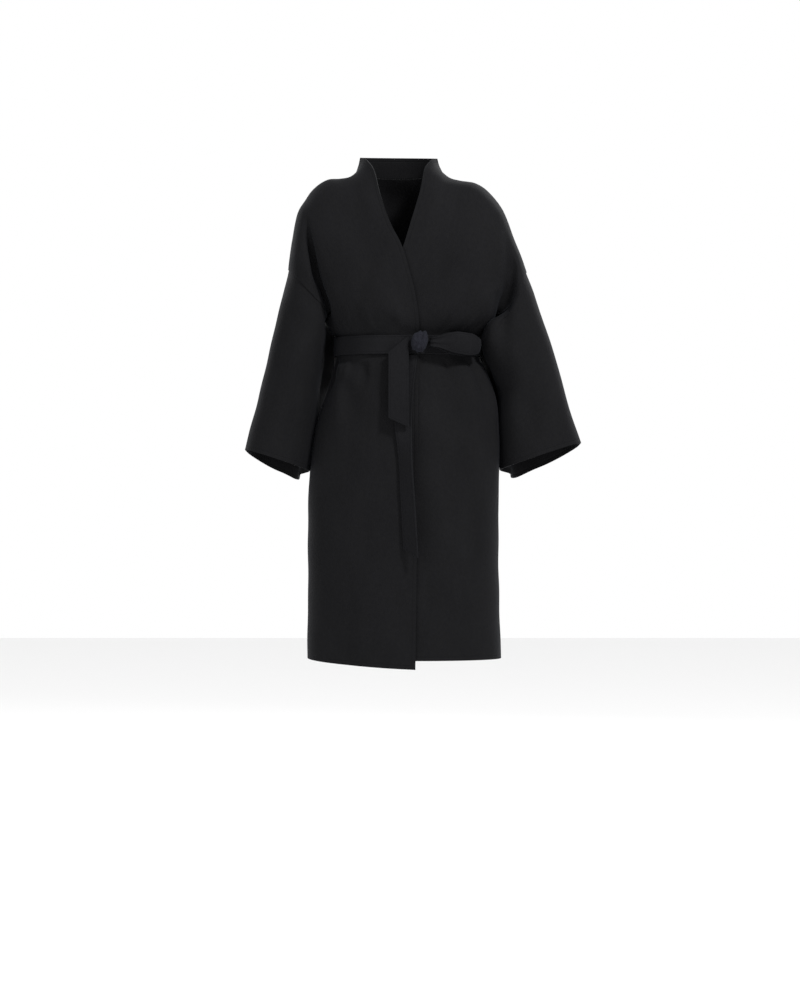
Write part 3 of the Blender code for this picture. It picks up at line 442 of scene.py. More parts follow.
def neck_share(side):
    """Share of the back's upper edge, from nape to sleeve, that is neck seam."""
    neck = neck_line(side)
    lengths = steps(np.vstack([neck, shoulder_line(side)[NECK_SEAM_AT + 1:]]), 0)
    return lengths[: len(neck) - 1].sum() / lengths.sum()


def back_columns(side):
    """Columns of half the back, nape to sleeve: even round the neck, then where the front's are."""
    lengths = steps(shoulder_line(side), 0)
    collar = lengths[:NECK_SEAM_AT].sum()
    past = (EDGE_TO_SIDE * lengths.sum() - collar) / (lengths.sum() - collar)
    neck = neck_share(side)
    round_neck = np.linspace(0, neck, NECK_COLUMNS + 1)
    return np.array([*round_neck, *(neck + (1 - neck) * past[past > 0.01])])


def edge_angle(x, z):
    """Angle of the body form's front at x and z."""
    half, power = read(BODY, z, "left" if x.mean() > 0 else "right", "power")
    return np.sign(x) * np.arcsin((np.abs(x) / half) ** (power / 2))


def yoke(side, face, s, t, centre):
    """Upper part of a panel, between its four edges.

    s runs from the centre edge (0) to the armhole (1), t from the underarm (0) to the shoulder (1).
    The surface is the lower edge eased into the upper one, plus what the centre edge and the
    armhole differ from that, shared as one less s cubed, and s cubed.
    """
    s, t = np.broadcast_arrays(s, t)
    shoulder = shoulder_line(side)
    centre = np.array(centre, float)
    if face < 0:
        start = edge_angle(centre[:1, 0], UNDERARM)[0]
        end = side * ROUND
        top = shoulder
        neck = COLLAR_SHARE
    else:
        start = 2 * ROUND
        end = 2 * ROUND - side * ROUND
        top = np.vstack([neck_line(side), shoulder[NECK_SEAM_AT + 1:]])
        neck = neck_share(side)
    first = np.zeros(s.shape)
    last = np.ones(s.shape)

    def surface(s, t):
        ease = (t * t * (3 - 2 * t))[..., None]
        hold = (s ** 3)[..., None]
        mix = body(start + (end - start) * s, UNDERARM + first) * (1 - ease) + line_through(top, s) * ease
        mix_in = centre[0] * (1 - ease) + line_through(top, first) * ease
        mix_out = ring(side, first, 2 * ROUND * last) * (1 - ease) + line_through(top, last) * ease
        inner = line_through(centre, t) - mix_in
        outer = ring(side, first, -face * 2 * ROUND * (1 - t)) - mix_out
        return mix + inner * (1 - hold) + outer * hold

    # the panel reaches the shoulder seam level, going back or forward, and the armhole along the sleeve
    small = 0.02
    points = surface(s, t)
    rise = (surface(s, last) - surface(s, last - small)) / small
    flat = length(rise) * [0, -face, 0]
    window = step_up((s - neck) / 0.12 + 1)[..., None]
    points = points + (t ** 3 * (t - 1))[..., None] * (flat - rise) * window
    run = (surface(last, t) - surface(last - small, t)) / small
    pull = length(run) * sleeve_way(side, -face * 2 * ROUND * (1 - t))
    window = (step_up((t - 0.12) / 0.30) * step_up((1 - t) / 0.12))[..., None]
    return points + (s ** 4 * (s - 1))[..., None] * (pull - run) * window


def facing(grid, around=False):
    """Outward direction at each point of a grid whose columns run to the right of its rows."""
    if around:
        grid = np.concatenate([grid[:, -2:-1], grid, grid[:, 1:2]], axis=1)
    out = unit(np.cross(np.gradient(grid, axis=1), np.gradient(grid, axis=0)))
    return out[:, 1:-1] if around else out


def level(out):
    """Outward directions without their part along y, as on both sides of a side or shoulder seam."""
    return unit(out * [1, 0, 1])


def armhole_facing(side, phi):
    """Outward direction on the armhole seam, the same for the panel and the sleeve."""
    before, after, seam, beyond = (overhung(side, grooved(side, ring(side, along, phi + turn)))
                                   for along, turn in ((0, -0.05), (0, 0.05), (0, 0), (0.03, 0)))
    return unit(np.cross(after - before, beyond - seam) * side)


def at_seams(out, side, face, index):
    """Turns a panel's directions at its side seam and armhole, one column, to those it shares there."""
    phi = -face * 2 * ROUND * (1 - np.array([0.0, *YOKE_STEPS]))
    out[:FIRST_YOKE, index] = level(out[:FIRST_YOKE, index])
    share = step_up((1 + face * phi / 2 / ROUND - 0.15) / 0.25)[:, None]
    out[FIRST_YOKE:, index] = unit(out[FIRST_YOKE:, index] * (1 - share) + armhole_facing(side, phi) * share)


def rise_of_creases(points, on_body):
    """How far the creases lift the cloth: a ridge along each bowed line, and half a trough beside it.

    Each fades to both ends from its peak. Under it all the cloth is uneven by up to a millimetre, a
    sum of long waves. Under the belt the body stays as it is.
    """
    x, y, z = np.moveaxis(points, -1, 0)
    rise = np.zeros(x.shape)
    for crease in CREASES:
        run_x = crease.x1 - crease.x0
        run_z = crease.z1 - crease.z0
        size = np.hypot(run_x, run_z)
        a = ((x - crease.x0) * run_x + (z - crease.z0) * run_z) / size ** 2
        off = ((x - crease.x0) * run_z - (z - crease.z0) * run_x) / size - 4 * crease.bow * a * (1 - a)
        width = crease.width * (1 + 0.5 * a)
        fade = step_up(a / crease.peak) * step_up((1 - a) / (1 - crease.peak))
        fade = fade * step_up(crease.face * y / 0.03)
        ridge = bell(off / width)
        trough = bell((off - TROUGH_OFF * width) / (TROUGH_WIDE * width))
        rise += CREASE_GAIN * crease.rise * fade * (ridge - TROUGH * trough)
    waves = np.sin(41 * x + 17 * z + 1.3) * np.sin(29 * z - 23 * y + 0.4)
    rise += UNEVEN * (waves + 0.6 * np.sin(67 * z + 31 * x - 19 * y))
    if on_body:
        rise *= step_up((np.abs(z - (BELT_TOP + BELT_LOW) / 2) - 0.0190) / 0.016)
    return rise[..., None]


def from_felled_edge(grid, felled):
    """Distance in metres of cloth from each point of a grid to the nearest of its felled edges."""
    u = np.pad(np.cumsum(steps(grid, 1), axis=1), ((0, 0), (1, 0)))
    v = np.pad(np.cumsum(steps(grid, 0), axis=0), ((1, 0), (0, 0)))
    away = {"first": u, "last": u[:, -1:] - u, "low": v, "high": v[-1:] - v}
    return np.minimum.reduce([1 + 0 * u, *(away[edge] for edge in felled)])


def metres(grid):
    """Distances along a grid's rows and up its columns, on average, for its UV map."""
    return [np.r_[0, np.cumsum(steps(grid, axis).mean(axis=1 - axis))] for axis in (1, 0)]


def as_piece(name, points, faces, places):
    """A piece from its points, faces, and a place in metres for each of their corners, its UV map."""
    mesh = bpy.data.meshes.new(name)
    mesh.from_pydata(points.tolist(), [], faces)
    mesh.uv_layers.new(name="cloth").data.foreach_set("uv", places.astype(np.float32).ravel())
    mesh.shade_smooth()
    return placed(name + "_cloth", mesh)


def quads(sides, rows, columns, first, second, order):
    """Faces from each (side, row, column): there, a first step away, both steps, and the second."""
    start = np.stack(np.meshgrid(sides, rows, columns, indexing="ij"), axis=-1).reshape(-1, 1, 3)
    return (start + [0 * first, first, first + second, second])[:, ::order]


def cloth(name, grid, out, thick, around=False, roll=ROLL, felled=()):
    """A sheet: a grid of points outside, the same moved in by its thickness, and rims between them.

    Its UV map is in metres of cloth, u along the rows from their first column, v up the columns, and
    its attribute from_edge is the distance to the nearest felled edge.
    """
    rows, columns = grid.shape[:2]
    u, v = metres(grid)
    across = columns - 1 if around else columns
    points = np.stack([grid, grid - thick * out])[:, :, :across].reshape(-1, 3)
    side, up, along = np.eye(3, dtype=int)
    j = np.arange(rows - 1)
    i = np.arange(columns - 1)
    patches = [(0, j, i, along, up, 1), (1, j, i, along, up, -1),
               (0, 0, i, side, along, 1), (0, rows - 1, i, side, along, -1)]
    if not around:
        patches += [(0, j, 0, up, side, 1), (0, j, columns - 1, up, side, -1)]
    faces = np.concatenate([quads(*patch) for patch in patches])
    index = (faces[..., 0] * rows + faces[..., 1]) * across + faces[..., 2] % across
    piece = as_piece(name, points, index.tolist(), np.stack([u[faces[..., 2]], v[faces[..., 1]]], axis=-1))
    away = np.stack([from_felled_edge(grid, felled)[:, :across]] * 2).astype(np.float32)
    piece.data.attributes.new("from_edge", "FLOAT", "POINT").data.foreach_set("value", away.ravel())
    edges = piece.modifiers.new("rolled edges", "BEVEL")
    edges.width = roll
    edges.segments = 3
    edges.limit_method = "ANGLE"
    edges.angle_limit = 1.0
    return piece


class Socket:
    """An output socket of a material: arithmetic on it adds Math nodes to that material."""

    def __init__(self, shader, output):
        self.shader = shader
        self.output = output

    def math(self, operation, a, b):
        """One Math node on two values."""
        return self.shader.node("ShaderNodeMath", {"operation": operation}, {0: a, 1: b})[0]

    def __add__(self, other):
        return self.math("ADD", self, other)

    def __sub__(self, other):
        return self.math("SUBTRACT", self, other)

    def __rsub__(self, other):
        return self.math("SUBTRACT", other, self)

    def __mul__(self, other):
        return self.math("MULTIPLY", self, other)

    def __truediv__(self, other):
        return self.math("DIVIDE", self, other)

    __radd__ = __add__
    __rmul__ = __mul__


class Shader:
    """A material with one Principled BSDF, built node by node."""

    def __init__(self, name):
        self.material = bpy.data.materials.new(name)
        self.material.use_nodes = True
        self.tree = self.material.node_tree
        self.surface = self.tree.nodes["Principled BSDF"]

    def node(self, kind, settings, sockets):
        """Adds a node: its settings first, then a value or a link for each named socket."""
        made = self.tree.nodes.new(kind)
        for name, value in settings.items():
            setattr(made, name, value)
        self.fill(made, sockets)
        return [Socket(self, output) for output in made.outputs]

    def fill(self, made, sockets):
        """Sets a node's sockets to values, or links them."""
        for name, value in sockets.items():
            if isinstance(value, Socket):
                self.tree.links.new(value.output, made.inputs[name])
            else:
                made.inputs[name].default_value = value


# heights in the wool's nap, in metres, and the depth and half width of a stitched groove
FIBRES_HIGH = 0.00020
FELT_HIGH = 0.00045
PATCHES_HIGH = 0.0008
STITCHED_DEEP = 0.00035
STITCHED_WIDE = 0.0010


def wool(name, dark, light, nap=1.0, felled_at=0.0075):
    """Black felted wool: short nap brushed down the cloth, felt clouds, and patches that lie another way.

    The height is fibres, felt and clouds added, in metres, less the shallow groove that the hidden
    stitches draw along a felled edge: a bell about its distance from the edge. The colour is mixed
    from dark to light by the same clouds, partly as random tone of the nap and partly as a painted
    highlight where raised fibres catch more light; along that groove it is darkened as painted shade.
    """
    shader = Shader(name)
    place = shader.node("ShaderNodeUVMap", {"uv_map": "cloth"}, {})[0]

    def clouds(scale, detail, stretch=(1, 1, 1)):
        turned = shader.node("ShaderNodeMapping", {}, {"Vector": place, "Scale": stretch})[0]
        return shader.node("ShaderNodeTexNoise", {}, {"Vector": turned, "Scale": scale, "Detail": detail,
                                                      "Roughness": 0.6})[0]

    fibres = clouds(1100, 3.0, (1, 0.30, 1))
    felt = clouds(170, 4.0, (1, 0.7, 1))
    patches = clouds(14, 3.0, (1, 0.45, 1))
    edge = shader.node("ShaderNodeAttribute", {"attribute_name": "from_edge"}, {})[2]
    off = (edge - felled_at) / STITCHED_WIDE
    groove = shader.node("ShaderNodeMath", {"operation": "EXPONENT"}, {0: off * off * -1.0})[0]
    groove = groove * (0.65 + patches * 0.7)
    height = fibres * (FIBRES_HIGH * nap) + felt * (FELT_HIGH * nap)
    height = height + patches * PATCHES_HIGH - groove * STITCHED_DEEP
    bump = shader.node("ShaderNodeBump", {}, {"Strength": 1.0, "Distance": 1.0, "Height": height})[0]
    # colour mix: random tone from the clouds, painted highlight on raised fibres, painted shade in the
    # stitched groove
    tone_and_painted_light = fibres * 0.30 + felt * 0.35 + patches * 0.60 - 0.25 - groove * 0.10
    colour = shader.node("ShaderNodeMix", {"data_type": "RGBA"}, {0: tone_and_painted_light, 6: (*dark, 1), 7: (*light, 1)})[2]
    shader.fill(shader.surface, {
        "Base Color": colour,
        "Roughness": 0.94 - felt * 0.12,
        "Normal": bump,
        "Specular IOR Level": 0.05,
        "Sheen Weight": 0.012,
        "Sheen Roughness": 0.42,
        "Sheen Tint": (0.72, 0.78, 0.95, 1.0),
    })
    return shader.material


def sewn_in(piece, material, nodes):
    """Finishes a cloth piece: its material, its body, and the nodes it stands for, which it hides."""
    piece.data.materials.append(material)
    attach(piece, "root")
    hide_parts(*nodes)


def softened(grid, first, last, times):
    """Rows first to last eased towards the mean of the rows beside them, as thick wool rounds a bend."""
    grid = grid.copy()
    weight = np.sin(np.pi * np.linspace(0, 1, last - first))[:, None, None]
    for _ in range(times):
        rows = grid[first:last]
        mean = (grid[first - 1: last - 1] + grid[first + 1: last + 1]) / 2
        grid[first:last] = rows + (mean - rows) * weight
    return grid


BLACK_WOOL = wool("black_wool", (0.0024, 0.0024, 0.0027), (0.0070, 0.0070, 0.0077))
nape_to_left = back_columns(1)
nape_to_right = back_columns(-1)
from_centre = np.array([*-nape_to_left[::-1], *nape_to_right[1:]])
turn = 2 * ROUND + ROUND * from_centre
skirt = [folded(body(turn, np.full(turn.shape, z)), turn) for z in SKIRT_HEIGHTS]
upper = [np.where((from_centre > 0)[:, None], *(
    grooved(side, yoke(side, 1, np.abs(from_centre), t, CENTRE_BACK)) for side in (-1, 1)))
         for t in YOKE_STEPS]
grid = softened(np.array(skirt + upper), FIRST_YOKE - 6, FIRST_YOKE + 8, 12)
# the seam turns a corner where neck and shoulder meet, which fades out in the cloth below it
below = step_up(np.r_[np.ones(FIRST_YOKE + 1), (1 - YOKE_STEPS) / 0.22])[:, None, None]
nape_at = len(nape_to_left) - 1
for corner in (nape_at - NECK_COLUMNS, nape_at + NECK_COLUMNS):
    eased = softened(grid.transpose(1, 0, 2), corner - 11, corner + 12, 90).transpose(1, 0, 2)
    grid = grid * (1 - below) + eased * below


def back_facing(grid):
    """The back's directions, with those it shares at its seams."""
    out = facing(grid)
    at_seams(out, 1, 1, 0)
    at_seams(out, -1, 1, -1)
    for shoulder in (slice(nape_at + 1 - NECK_COLUMNS), slice(nape_at + NECK_COLUMNS, None)):
        out[-1, shoulder] = level(out[-1, shoulder])
    return out


grid = grid + back_facing(grid) * rise_of_creases(grid, True)
neck_seam = grid[-1, nape_at - NECK_COLUMNS: nape_at + 1 + NECK_COLUMNS].copy()
piece = cloth("back", grid, back_facing(grid), CLOTH, felled=("low",))
sewn_in(piece, BLACK_WOOL, ["back"])

# Fronts: the same wool, each cut in one with its collar. The wearer's right front lies over the
# left one. Their edges, collar tops and hems are felled by hand, with a soft rolled edge.
HEM_DIP = 0.017
LAP = 0.0044
EdgeLow = namedtuple("EdgeLow", "z right left")
EDGE_LOW = rows_of(EdgeLow, [
    (-0.98, 0.02, -0.062), (-0.64, 0.024, -0.062), (-0.4, 0.026, -0.06),
    (-0.285, 0.028, -0.056),
])
EDGE = {-1: rows_of(EdgeHigh, [
    (0.028, -0.129, -0.285), (0.019, -0.1335, -0.232), (0.006, -0.1315, -0.182), (-0.007, -0.125, -0.14),
    (-0.028, -0.111, -0.098), (-0.05, -0.085, -0.035), (-0.066, -0.048, 0.021), (-0.08, -0.018, 0.04),
    (-0.09, 0.01, 0.046),
]), 1: rows_of(EdgeHigh, [
    (-0.056, -0.127, -0.285), (-0.043, -0.132, -0.24), (-0.024, -0.1315, -0.192), (-0.003, -0.125, -0.14),
    (0.012, -0.11, -0.09), (0.03, -0.083, -0.03), (0.043, -0.048, 0.023), (0.056, -0.018, 0.039),
    (0.065, 0.01, 0.044),
])}


def front_depth(x, z):
    """y of the body form's front at x and z."""
    right, left, front, power = read(BODY, z, "right", "left", "front", "power")
    share = np.clip(np.abs(x) / np.where(x < 0, right, left), 0, 1)
    return -front * (1 - share ** power) ** (1 / power)


def on_the_chest(points):
    """Both fronts follow one form about the centre, so that one can lie on the other."""
    x, y, z = np.moveaxis(points, -1, 0)
    share = step_up((0.105 - np.abs(x)) / 0.05) * step_up((-0.105 - z) / 0.035)
    return np.stack([x, y * (1 - share) + front_depth(x, z) * share, z], axis=-1)


def lapped(points):
    """The right front's points, moved out where the left front lies under them."""
    x, y, z = np.moveaxis(points, -1, 0)
    under = np.where(z < UNDERARM, *read(EDGE_LOW, z, "left"), *read(EDGE[1], z, "x"))
    out = LAP * step_up((x - under + 0.055) / 0.033) * step_up((-0.03 - z) / 0.05)
    return np.stack([x, y - out, z], axis=-1)


def front(side):
    """Grid of one front, from its edge to the side seam: skirt rows, then the yoke's."""
    s = EDGE_TO_SIDE
    dip = HEM_DIP * (1 - s) ** 1.5 if side < 0 else 0 * s
    rows = []
    for height in SKIRT_HEIGHTS:
        z = height - dip * ((UNDERARM - height) / (UNDERARM - HEM)) ** 4
        start = edge_angle(*read(EDGE_LOW, z, "right" if side < 0 else "left"), z)
        turn = start + (side * ROUND - start) * s
        rows.append(overhung(side, folded(body(turn, z), turn)))
    for t in YOKE_STEPS:
        rows.append(overhung(side, grooved(side, on_the_chest(yoke(side, -1, s, t, EDGE[side])))))
    return softened(np.array(rows), FIRST_YOKE - 6, FIRST_YOKE + 8, 12)


def front_facing(grid, side):
    """A front's directions, with those it shares at its seams."""
    out = facing(grid)
    at_seams(out, side, -1, 0 if side < 0 else -1)
    out[-1] = level(out[-1])
    return out


for side, name, grid, felled_side, flat, area in (
        (-1, "front_right", lapped(front(-1))[:, ::-1], "last", (0.36, 1.05), 0.268),
        (1, "front_left", front(1), "first", (0.39, 1.03), 0.297)):
    grid = grid + front_facing(grid, side) * rise_of_creases(grid, True)
    piece = cloth(name, grid, front_facing(grid, side), CLOTH, felled=("low", felled_side))
    sewn_in(piece, BLACK_WOOL, [name])

# Neck stand: a shaped strip of the same wool round the back of the neck, sewn to the neck seam
# and, at both ends, to the collars that the fronts carry.
STAND_RISE = 0.042
STAND_LEAN = 0.006
STAND_ROWS = 14
left, right = (line_through(shoulder_line(side)[: NECK_SEAM_AT + 1][::-1], np.linspace(0, 1, STAND_ROWS))
               for side in (1, -1))
share = np.linspace(0, 1, len(neck_seam))[None, :]
turn = 2 * ROUND * share
up = ((left[:, 2] - left[0, 2]) / (left[-1, 2] - left[0, 2]))[:, None]
nape = CENTRE_BACK[-1]
middle = (left[:, :1] + right[:, :1]) / 2
grid = np.stack([
    middle + (left[:, :1] - right[:, :1]) / 2 * np.cos(turn),
    left[:, 1:2] + (nape.y - STAND_LEAN * up - left[:, 1:2]) * np.sin(turn),
    left[:, 2:] + (right[:, 2:] - left[:, 2:]) * share
    + (nape.z + STAND_RISE * up - (left[:, 2:] + right[:, 2:]) / 2) * np.sin(turn),
], axis=-1)
foot = (1 - step_up(np.linspace(0, 1, STAND_ROWS) / 0.4))[:, None, None]
grid += (neck_seam - grid[0]) * foot
out = facing(grid)
out[:, [0, -1]] = level(out[:, [0, -1]])
piece = cloth("neck_stand", grid, out, CLOTH, felled=("high",))
sewn_in(piece, BLACK_WOOL, ["neck_stand"])

# Sleeves: wide tubes of the same wool, sewn into the dropped armholes with the seam under the
# arm, and open at the cuff with a felled edge. They lean on the waist behind and on the skirt,
# and the dropped shoulder stands a little proud of them at the seam.
PRESSED_IN = 0.0350  # how far, where along the sleeve, and over how much of it
PRESSED_AT = 0.13
PRESSED_OVER = 0.11
CUFF_IN = 0.0098
FURTHER_IN = {-1: 0, 1: 0.0048}
CUFF_BACK = 0.0240
CUFF_STRAIGHT = 0.0110
CUFF_DROP = 0.0160
LEDGE = 0.0014
for side, name in ((-1, "sleeve_right"), (1, "sleeve_left")):
    away = np.array([0, 0.006, *np.linspace(0.018, 0.982, SLEEVE_ROWS), 0.988, 0.995, 1.0])[::-1, None]
    phi = -side * np.linspace(0, 4 * ROUND, SLEEVE_COLUMNS + 1)
    grid = overhung(side, grooved(side, ring(side, away, phi)))
    behind = np.clip(grid[..., 1] / SLEEVE_DEEP, 0, 1)
    before = np.clip(-grid[..., 1] / SLEEVE_DEEP, 0, 1)
    inner = (1 - np.cos(phi)) / 2
    to_cuff = step_up((away - 0.6) / 0.4)
    pressed = behind * bell((away - PRESSED_AT) / PRESSED_OVER) * step_up(away / 0.07)
    to_skirt = CUFF_IN * step_up((away - 0.45) / 0.35) + FURTHER_IN[side] * step_up((away - 0.5) / 0.25)
    from_skirt = CUFF_BACK * inner ** 2 * step_up(behind / 0.3) * to_cuff
    grid[..., 0] -= side * (PRESSED_IN * pressed + inner * to_skirt - from_skirt)
    grid[..., 2] -= to_cuff * (CUFF_STRAIGHT * before + CUFF_DROP * behind * inner)
    out = facing(grid, around=True)
    out[-1] = armhole_facing(side, phi)
    grid = grid + out * (rise_of_creases(grid, False) - LEDGE * (1 - step_up(away / 0.12))[..., None])
    out = facing(grid, around=True)
    out[-1] = armhole_facing(side, phi)
    piece = cloth(name, grid, out, CLOTH, around=True, felled=("low",))
    sewn_in(piece, BLACK_WOOL, [name])

# Belt round the waist: a strip of the same wool, two layers pressed together, drawn tight over
# the lapped fronts and through the carriers.
BELT = 0.004
BELT_ROLL = 0.0013
CLEAR = 0.0006
BELT_COLUMNS = 220
PRESSED_WOOL = wool("pressed_wool", (0.0026, 0.0026, 0.0030), (0.0074, 0.0074, 0.0084), 0.8, 0.0040)


def belt_lap(x):
    """How far the belt is held out by the lapped front, easing off past that front's edge."""
    return LAP * step_up((x + 0.115) / 0.033) * (1 - step_up((x - 0.032) / 0.030))


def belt_surface(turn, heights, stand):
    """The belt's outside and its outward directions, with a further stand off it."""
    grid = body(turn, heights)
    grid[..., 1] -= np.where(grid[..., 1] < 0, belt_lap(grid[..., 0]), 0)
    ahead = body(turn + 0.02, heights) - body(turn - 0.02, heights)
    out = unit(np.stack([ahead[..., 1], -ahead[..., 0], 0 * ahead[..., 0]], axis=-1))
    return grid + out * (CLEAR + BELT + stand[..., None]), out


heights = np.linspace(BELT_LOW, BELT_TOP, 12)[:, None]
turn = np.linspace(0, 4 * ROUND, BELT_COLUMNS + 1)[None, :]
wave = 0.0006 * np.sin(7 * turn) * np.sin(3 * turn + 1)
grid, out = belt_surface(turn, heights, 0.0006 + wave)
piece = cloth("belt_waist", grid, out, BELT, around=True, roll=BELT_ROLL, felled=("low", "high"))
sewn_in(piece, PRESSED_WOOL, ["belt_waist"])

# Knot: the belt's ends wound once round each other, so it is a barrel of soft pleats with one
# turn lying over the other.
KNOT_X = 0.028
KNOT_Z = -0.330
KNOT_SIZE = (0.0180, 0.0140, 0.0235)
KNOT_TILT = 0.38
KNOT_SKEW = 0.6


def in_front(x, z):
    """y of whatever lies outermost in front: the lapped fronts, with the belt round them."""
    over_belt = step_up((z - BELT_LOW + 0.045) / 0.040)
    return front_depth(x, z) - belt_lap(x) - (CLEAR + BELT) * over_belt


def round_wool(name, grid):
    """A closed lump: rows from one pole to the other, columns round it, with its UV map in metres."""
    rows, columns = grid.shape[:2]
    u, v = metres(grid)
    across = columns - 1
    points = np.concatenate([grid[1:-1, :across].reshape(-1, 3), grid[:1, 0], grid[-1:, 0]])
    poles = {0: len(points) - 2, rows - 1: len(points) - 1}
    j, i = (a.ravel() for a in np.meshgrid(np.arange(1, rows - 2), np.arange(across), indexing="ij"))
    sides = np.array([[j, i], [j, i + 1], [j + 1, i + 1], [j + 1, i]])
    i = np.arange(across)
    low, high = 0 * i, rows - 1 + 0 * i
    ends = [np.array([[low, i], [low + 1, i + 1], [low + 1, i]]),
            np.array([[high, i], [high - 1, i], [high - 1, i + 1]])]
    faces = []
    places = []
    for corners in (sides, *ends):
        row, column_at = corners.transpose(1, 2, 0)
        index = (row - 1) * across + column_at % across
        for pole, at in poles.items():
            index[row == pole] = at
        faces += index.tolist()
        places.append(np.stack([u[column_at], v[row]], axis=-1).reshape(-1, 2))
    return as_piece(name, points, faces, np.concatenate(places))


north = np.linspace(-1, 1, 41)[:, None]
round_it = np.linspace(0, 4 * ROUND, 73)[None, :]
around_front = np.cos(round_it)
around_up = np.sin(round_it)
turned_over = step_up((north - 0.05 - 0.45 * around_up) / 0.12) * step_up(around_front / 0.3 + 0.6)
pleats = 0.065 * np.cos(10 * north + 1.6 * around_up + 0.6) + 0.050 * np.sin(5 * north - 3 * round_it)
pleats = pleats + 0.05 * np.sin(7 * round_it + 4 * north) * np.cos(6 * north)
lobe = 0.20 * step_up(around_up) * bell((north - 0.45) / 0.32)
# the barrel's radius: a rounded end at each pole, its pleats, the turn that lies over, and the lobe on top
barrel = (1 - np.abs(north) ** 2.5) ** 0.46 * (0.87 + pleats * (1 - north ** 2) + 0.11 * turned_over + lobe)
size_x, size_y, size_z = KNOT_SIZE
x = 0.94 * size_x * north
y = -size_y * barrel * around_front
z = size_z * barrel * around_up * 0.98
knot_y = in_front(KNOT_X, KNOT_Z) - CLEAR - size_y
grid = np.stack([KNOT_X + x * np.cos(KNOT_TILT) + z * np.sin(KNOT_TILT) * KNOT_SKEW, knot_y + y,
                 KNOT_Z - x * np.sin(KNOT_TILT) * KNOT_SKEW + z * np.cos(KNOT_TILT)], axis=-1)
piece = round_wool("belt_knot", grid[:, ::-1])
# the knot's wool runs from darker than the belt to a pale bluish light: painted glints as bright specks,
# painted shade as dark ones
piece.data.materials.append(wool("knotted_wool_painted_glints", (0.0016, 0.0017, 0.0026), (0.0200, 0.0206, 0.0275), 4.0))
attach(piece, "root")
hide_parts("belt_knot")

# Bow loop: the belt doubled back into the knot. It is an oval in plan, its upper edge rolled
# outwards, and it hangs a little at its far end.
LOOP_NEAR = 0.0445
LOOP_FAR = 0.127
LOOP_DEPTH = 0.026
LOOP_WIDTH = 0.036
LOOP_DROP = 0.012
LOOP_POWER = 0.75
LOOP_PLEATS = 0.0014
LOOP_CROWN = 0.0090
near, far = edge_angle(np.array([LOOP_NEAR, LOOP_FAR]), KNOT_Z)
turn = np.linspace(0, 4 * ROUND, 133)[None, :]
reach = bent(np.cos(turn), LOOP_POWER)
bulge = bent(np.sin(turn), LOOP_POWER)
out_along = (reach + 1) / 2
angle = (near + far) / 2 + (far - near) / 2 * reach
across = np.linspace(-0.5, 0.5, 16)[:, None]
from_knot = step_up(out_along / 0.45)
pinched = 0.46 + 0.72 * from_knot - 0.44 * step_up((out_along - 0.66) / 0.34)
pleated = LOOP_PLEATS * np.cos(13 * across) * (1 - from_knot)
crowned = LOOP_CROWN * (1 - ((across - 0.24) / 0.74) ** 2) * (1 - bulge) / 2 * from_knot
stand = 1.5 * CLEAR + LOOP_DEPTH / 2 * (1 - bulge) + pleated + crowned
grid = belt_surface(angle, KNOT_Z + 0 * across, stand)[0]
grid[..., 2] = KNOT_Z + LOOP_WIDTH * (across * pinched + 0.10 * from_knot) - LOOP_DROP * out_along
piece = cloth("belt_loop", grid, facing(grid, around=True), BELT, around=True, roll=BELT_ROLL,
              felled=("low", "high"))
sewn_in(piece, PRESSED_WOOL, ["belt_loop"])

# Long end: hangs from the knot behind the short one, and turns to its side on the way down.
LongEnd = namedtuple("LongEnd", "z x turn")
LONG_END = rows_of(LongEnd, [
    (-0.356, 0.008, 0), (-0.44, -0.002, 0.02), (-0.49, -0.004, 0.12),
    (-0.535, -0.002, 0.58), (-0.64, 0.004, 0.66), (-0.745, 0.01, 0.62),
])
LONG_WIDTH = 0.034
LONG_SLANT = 0.008
LONG_OFF = 0.0012  # how far it hangs off what is behind it
share = np.linspace(0, 1, 90)[:, None]
across = np.linspace(-0.5, 0.5, 14)[None, :]
z = LONG_END[0].z + (LONG_END[-1].z - LONG_END[0].z) * share - 2 * LONG_SLANT * across * share ** 6
middle, twist = read(LONG_END, z, "x", "turn")
x = middle + LONG_WIDTH * across * np.cos(twist)
y = in_front(x, z) - CLEAR - BELT - LONG_WIDTH * (across + 0.5) * np.sin(twist) - LONG_OFF
grid = np.stack([x, y, z], axis=-1)[::-1]
piece = cloth("belt_end_long", grid, facing(grid), BELT, roll=BELT_ROLL, felled=("low", "first", "last"))
sewn_in(piece, PRESSED_WOOL, ["belt_end_long"])

# Short end: comes out of the knot over the belt with a slanting fold, and hangs in front of the
# long one.
SHORT_LEFT = -0.033
SHORT_RIGHT = 0.007
SHORT_TOPS = (-0.3500, -0.3180)
SHORT_ENDS = (-0.4800, -0.4980)
SHORT_OUT = 0.0105  # how far the long end holds it out
SHORT_CURL = 0.0015
SHORT_OFF = 0.0008
share = np.linspace(0, 1, 60)[:, None]
across = np.linspace(0, 1, 16)[None, :]
top = SHORT_TOPS[0] + (SHORT_TOPS[1] - SHORT_TOPS[0]) * across
low = SHORT_ENDS[0] + (SHORT_ENDS[1] - SHORT_ENDS[0]) * across
z = top + (low - top) * share
x = SHORT_LEFT + (SHORT_RIGHT - SHORT_LEFT) * across + 0 * z
over = (BELT + 2.5 * CLEAR) * step_up((-0.330 - z) / 0.022) + SHORT_OUT * step_up((-0.342 - z) / 0.055)
curl = SHORT_CURL * np.sin(3.1 * share + 2.2 * across) * share
grid = np.stack([x, in_front(x, z) - CLEAR - BELT - over - curl - SHORT_OFF, z], axis=-1)[::-1]
piece = cloth("belt_end_short", grid, facing(grid), BELT, roll=BELT_ROLL, felled=("low", "first", "last"))
sewn_in(piece, PRESSED_WOOL, ["belt_end_short"])

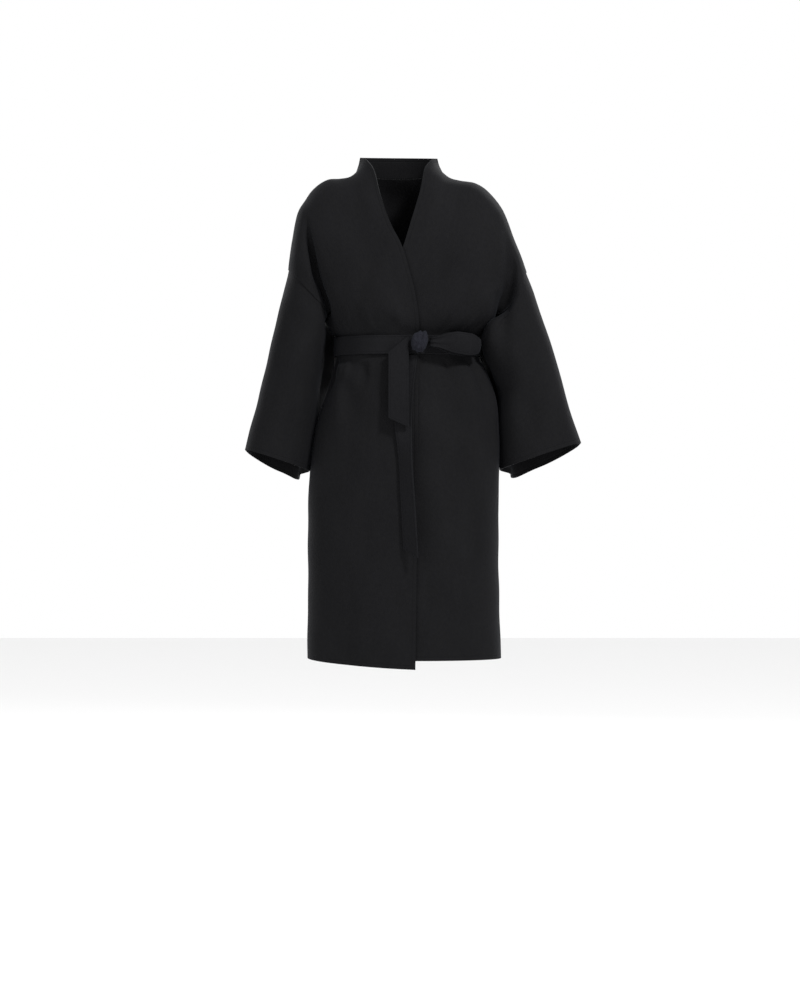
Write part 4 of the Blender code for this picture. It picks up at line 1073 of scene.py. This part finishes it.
# Carriers: a narrow strip of wool over the belt at each side seam, caught into the seam above
# and below it.
CARRIER_WIDTH = 0.009
CARRIER_CLOTH = 0.002
for side, name in ((-1, "carrier_right"), (1, "carrier_left")):
    low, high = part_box(name)
    reach = max(abs(low.x), abs(high.x))
    heights = np.linspace(low.z, high.z, 24)[:, None]
    across = side * CARRIER_WIDTH * np.linspace(-0.5, 0.5, 6)[None, :]
    tuck = 0.0012 * (1 - step_up((high.z - heights) / 0.006) + 1 - step_up((heights - low.z) / 0.006))
    grid = np.stack([side * (reach - tuck) + 0 * across, across + 0 * heights, heights + 0 * across], axis=-1)
    piece = cloth(name, grid, facing(grid), CARRIER_CLOTH, roll=0.0006)
    sewn_in(piece, PRESSED_WOOL,
            [name])

# Studio: a pale floor well below the coat, a white surround, a large soft key light at the upper
# right of the picture, a wide fill at the left and a strip behind each shoulder.
FLOOR = -1.56
WIDE = 14.0
floor_mesh = bpy.data.meshes.new("floor")
corners = [(x * WIDE, y * WIDE, FLOOR) for x, y in ((-1, -1), (1, -1), (1, 1), (-1, 1))]
floor_mesh.from_pydata(corners, [], [(0, 1, 2, 3)])
floor = placed("floor", floor_mesh)
paper = Shader("pale_floor")
paper.fill(paper.surface, {"Base Color": (0.86, 0.86, 0.86, 1.0), "Roughness": 0.9})
floor.data.materials.append(paper.material)

world = bpy.data.worlds.new("studio")
bpy.context.scene.world = world
world.use_nodes = True
world.node_tree.nodes["Background"].inputs["Color"].default_value = (1.0, 1.0, 1.0, 1.0)
world.node_tree.nodes["Background"].inputs["Strength"].default_value = 1.0
bpy.context.scene.view_settings.view_transform = "Standard"

Light = namedtuple("Light", "name place aim size power")
LIGHTS = [
    Light("key", (2.6, -3.0, 3.3), (0.0, 0.0, -0.35), 0.8, 410),
    Light("fill", (-3.0, -3.2, 0.6), (0.0, 0.0, -0.5), 2.0, 70),
    Light("behind_right", (1.9, 3.6, 2.2), (0.0, 0.0, -0.4), 1.1, 150),
    Light("behind_left", (-2.2, 3.2, 1.0), (0.0, 0.0, -0.4), 1.6, 60),
]
for light in LIGHTS:
    lamp = bpy.data.lights.new(light.name, "AREA")
    lamp.size = light.size
    lamp.energy = light.power
    lamp_object = placed(light.name, lamp)
    lamp_object.location = light.place
    way = lamp_object.location.copy()
    way.x, way.y, way.z = (b - a for a, b in zip(light.place, light.aim))
    lamp_object.rotation_euler = way.to_track_quat("-Z", "Y").to_euler()
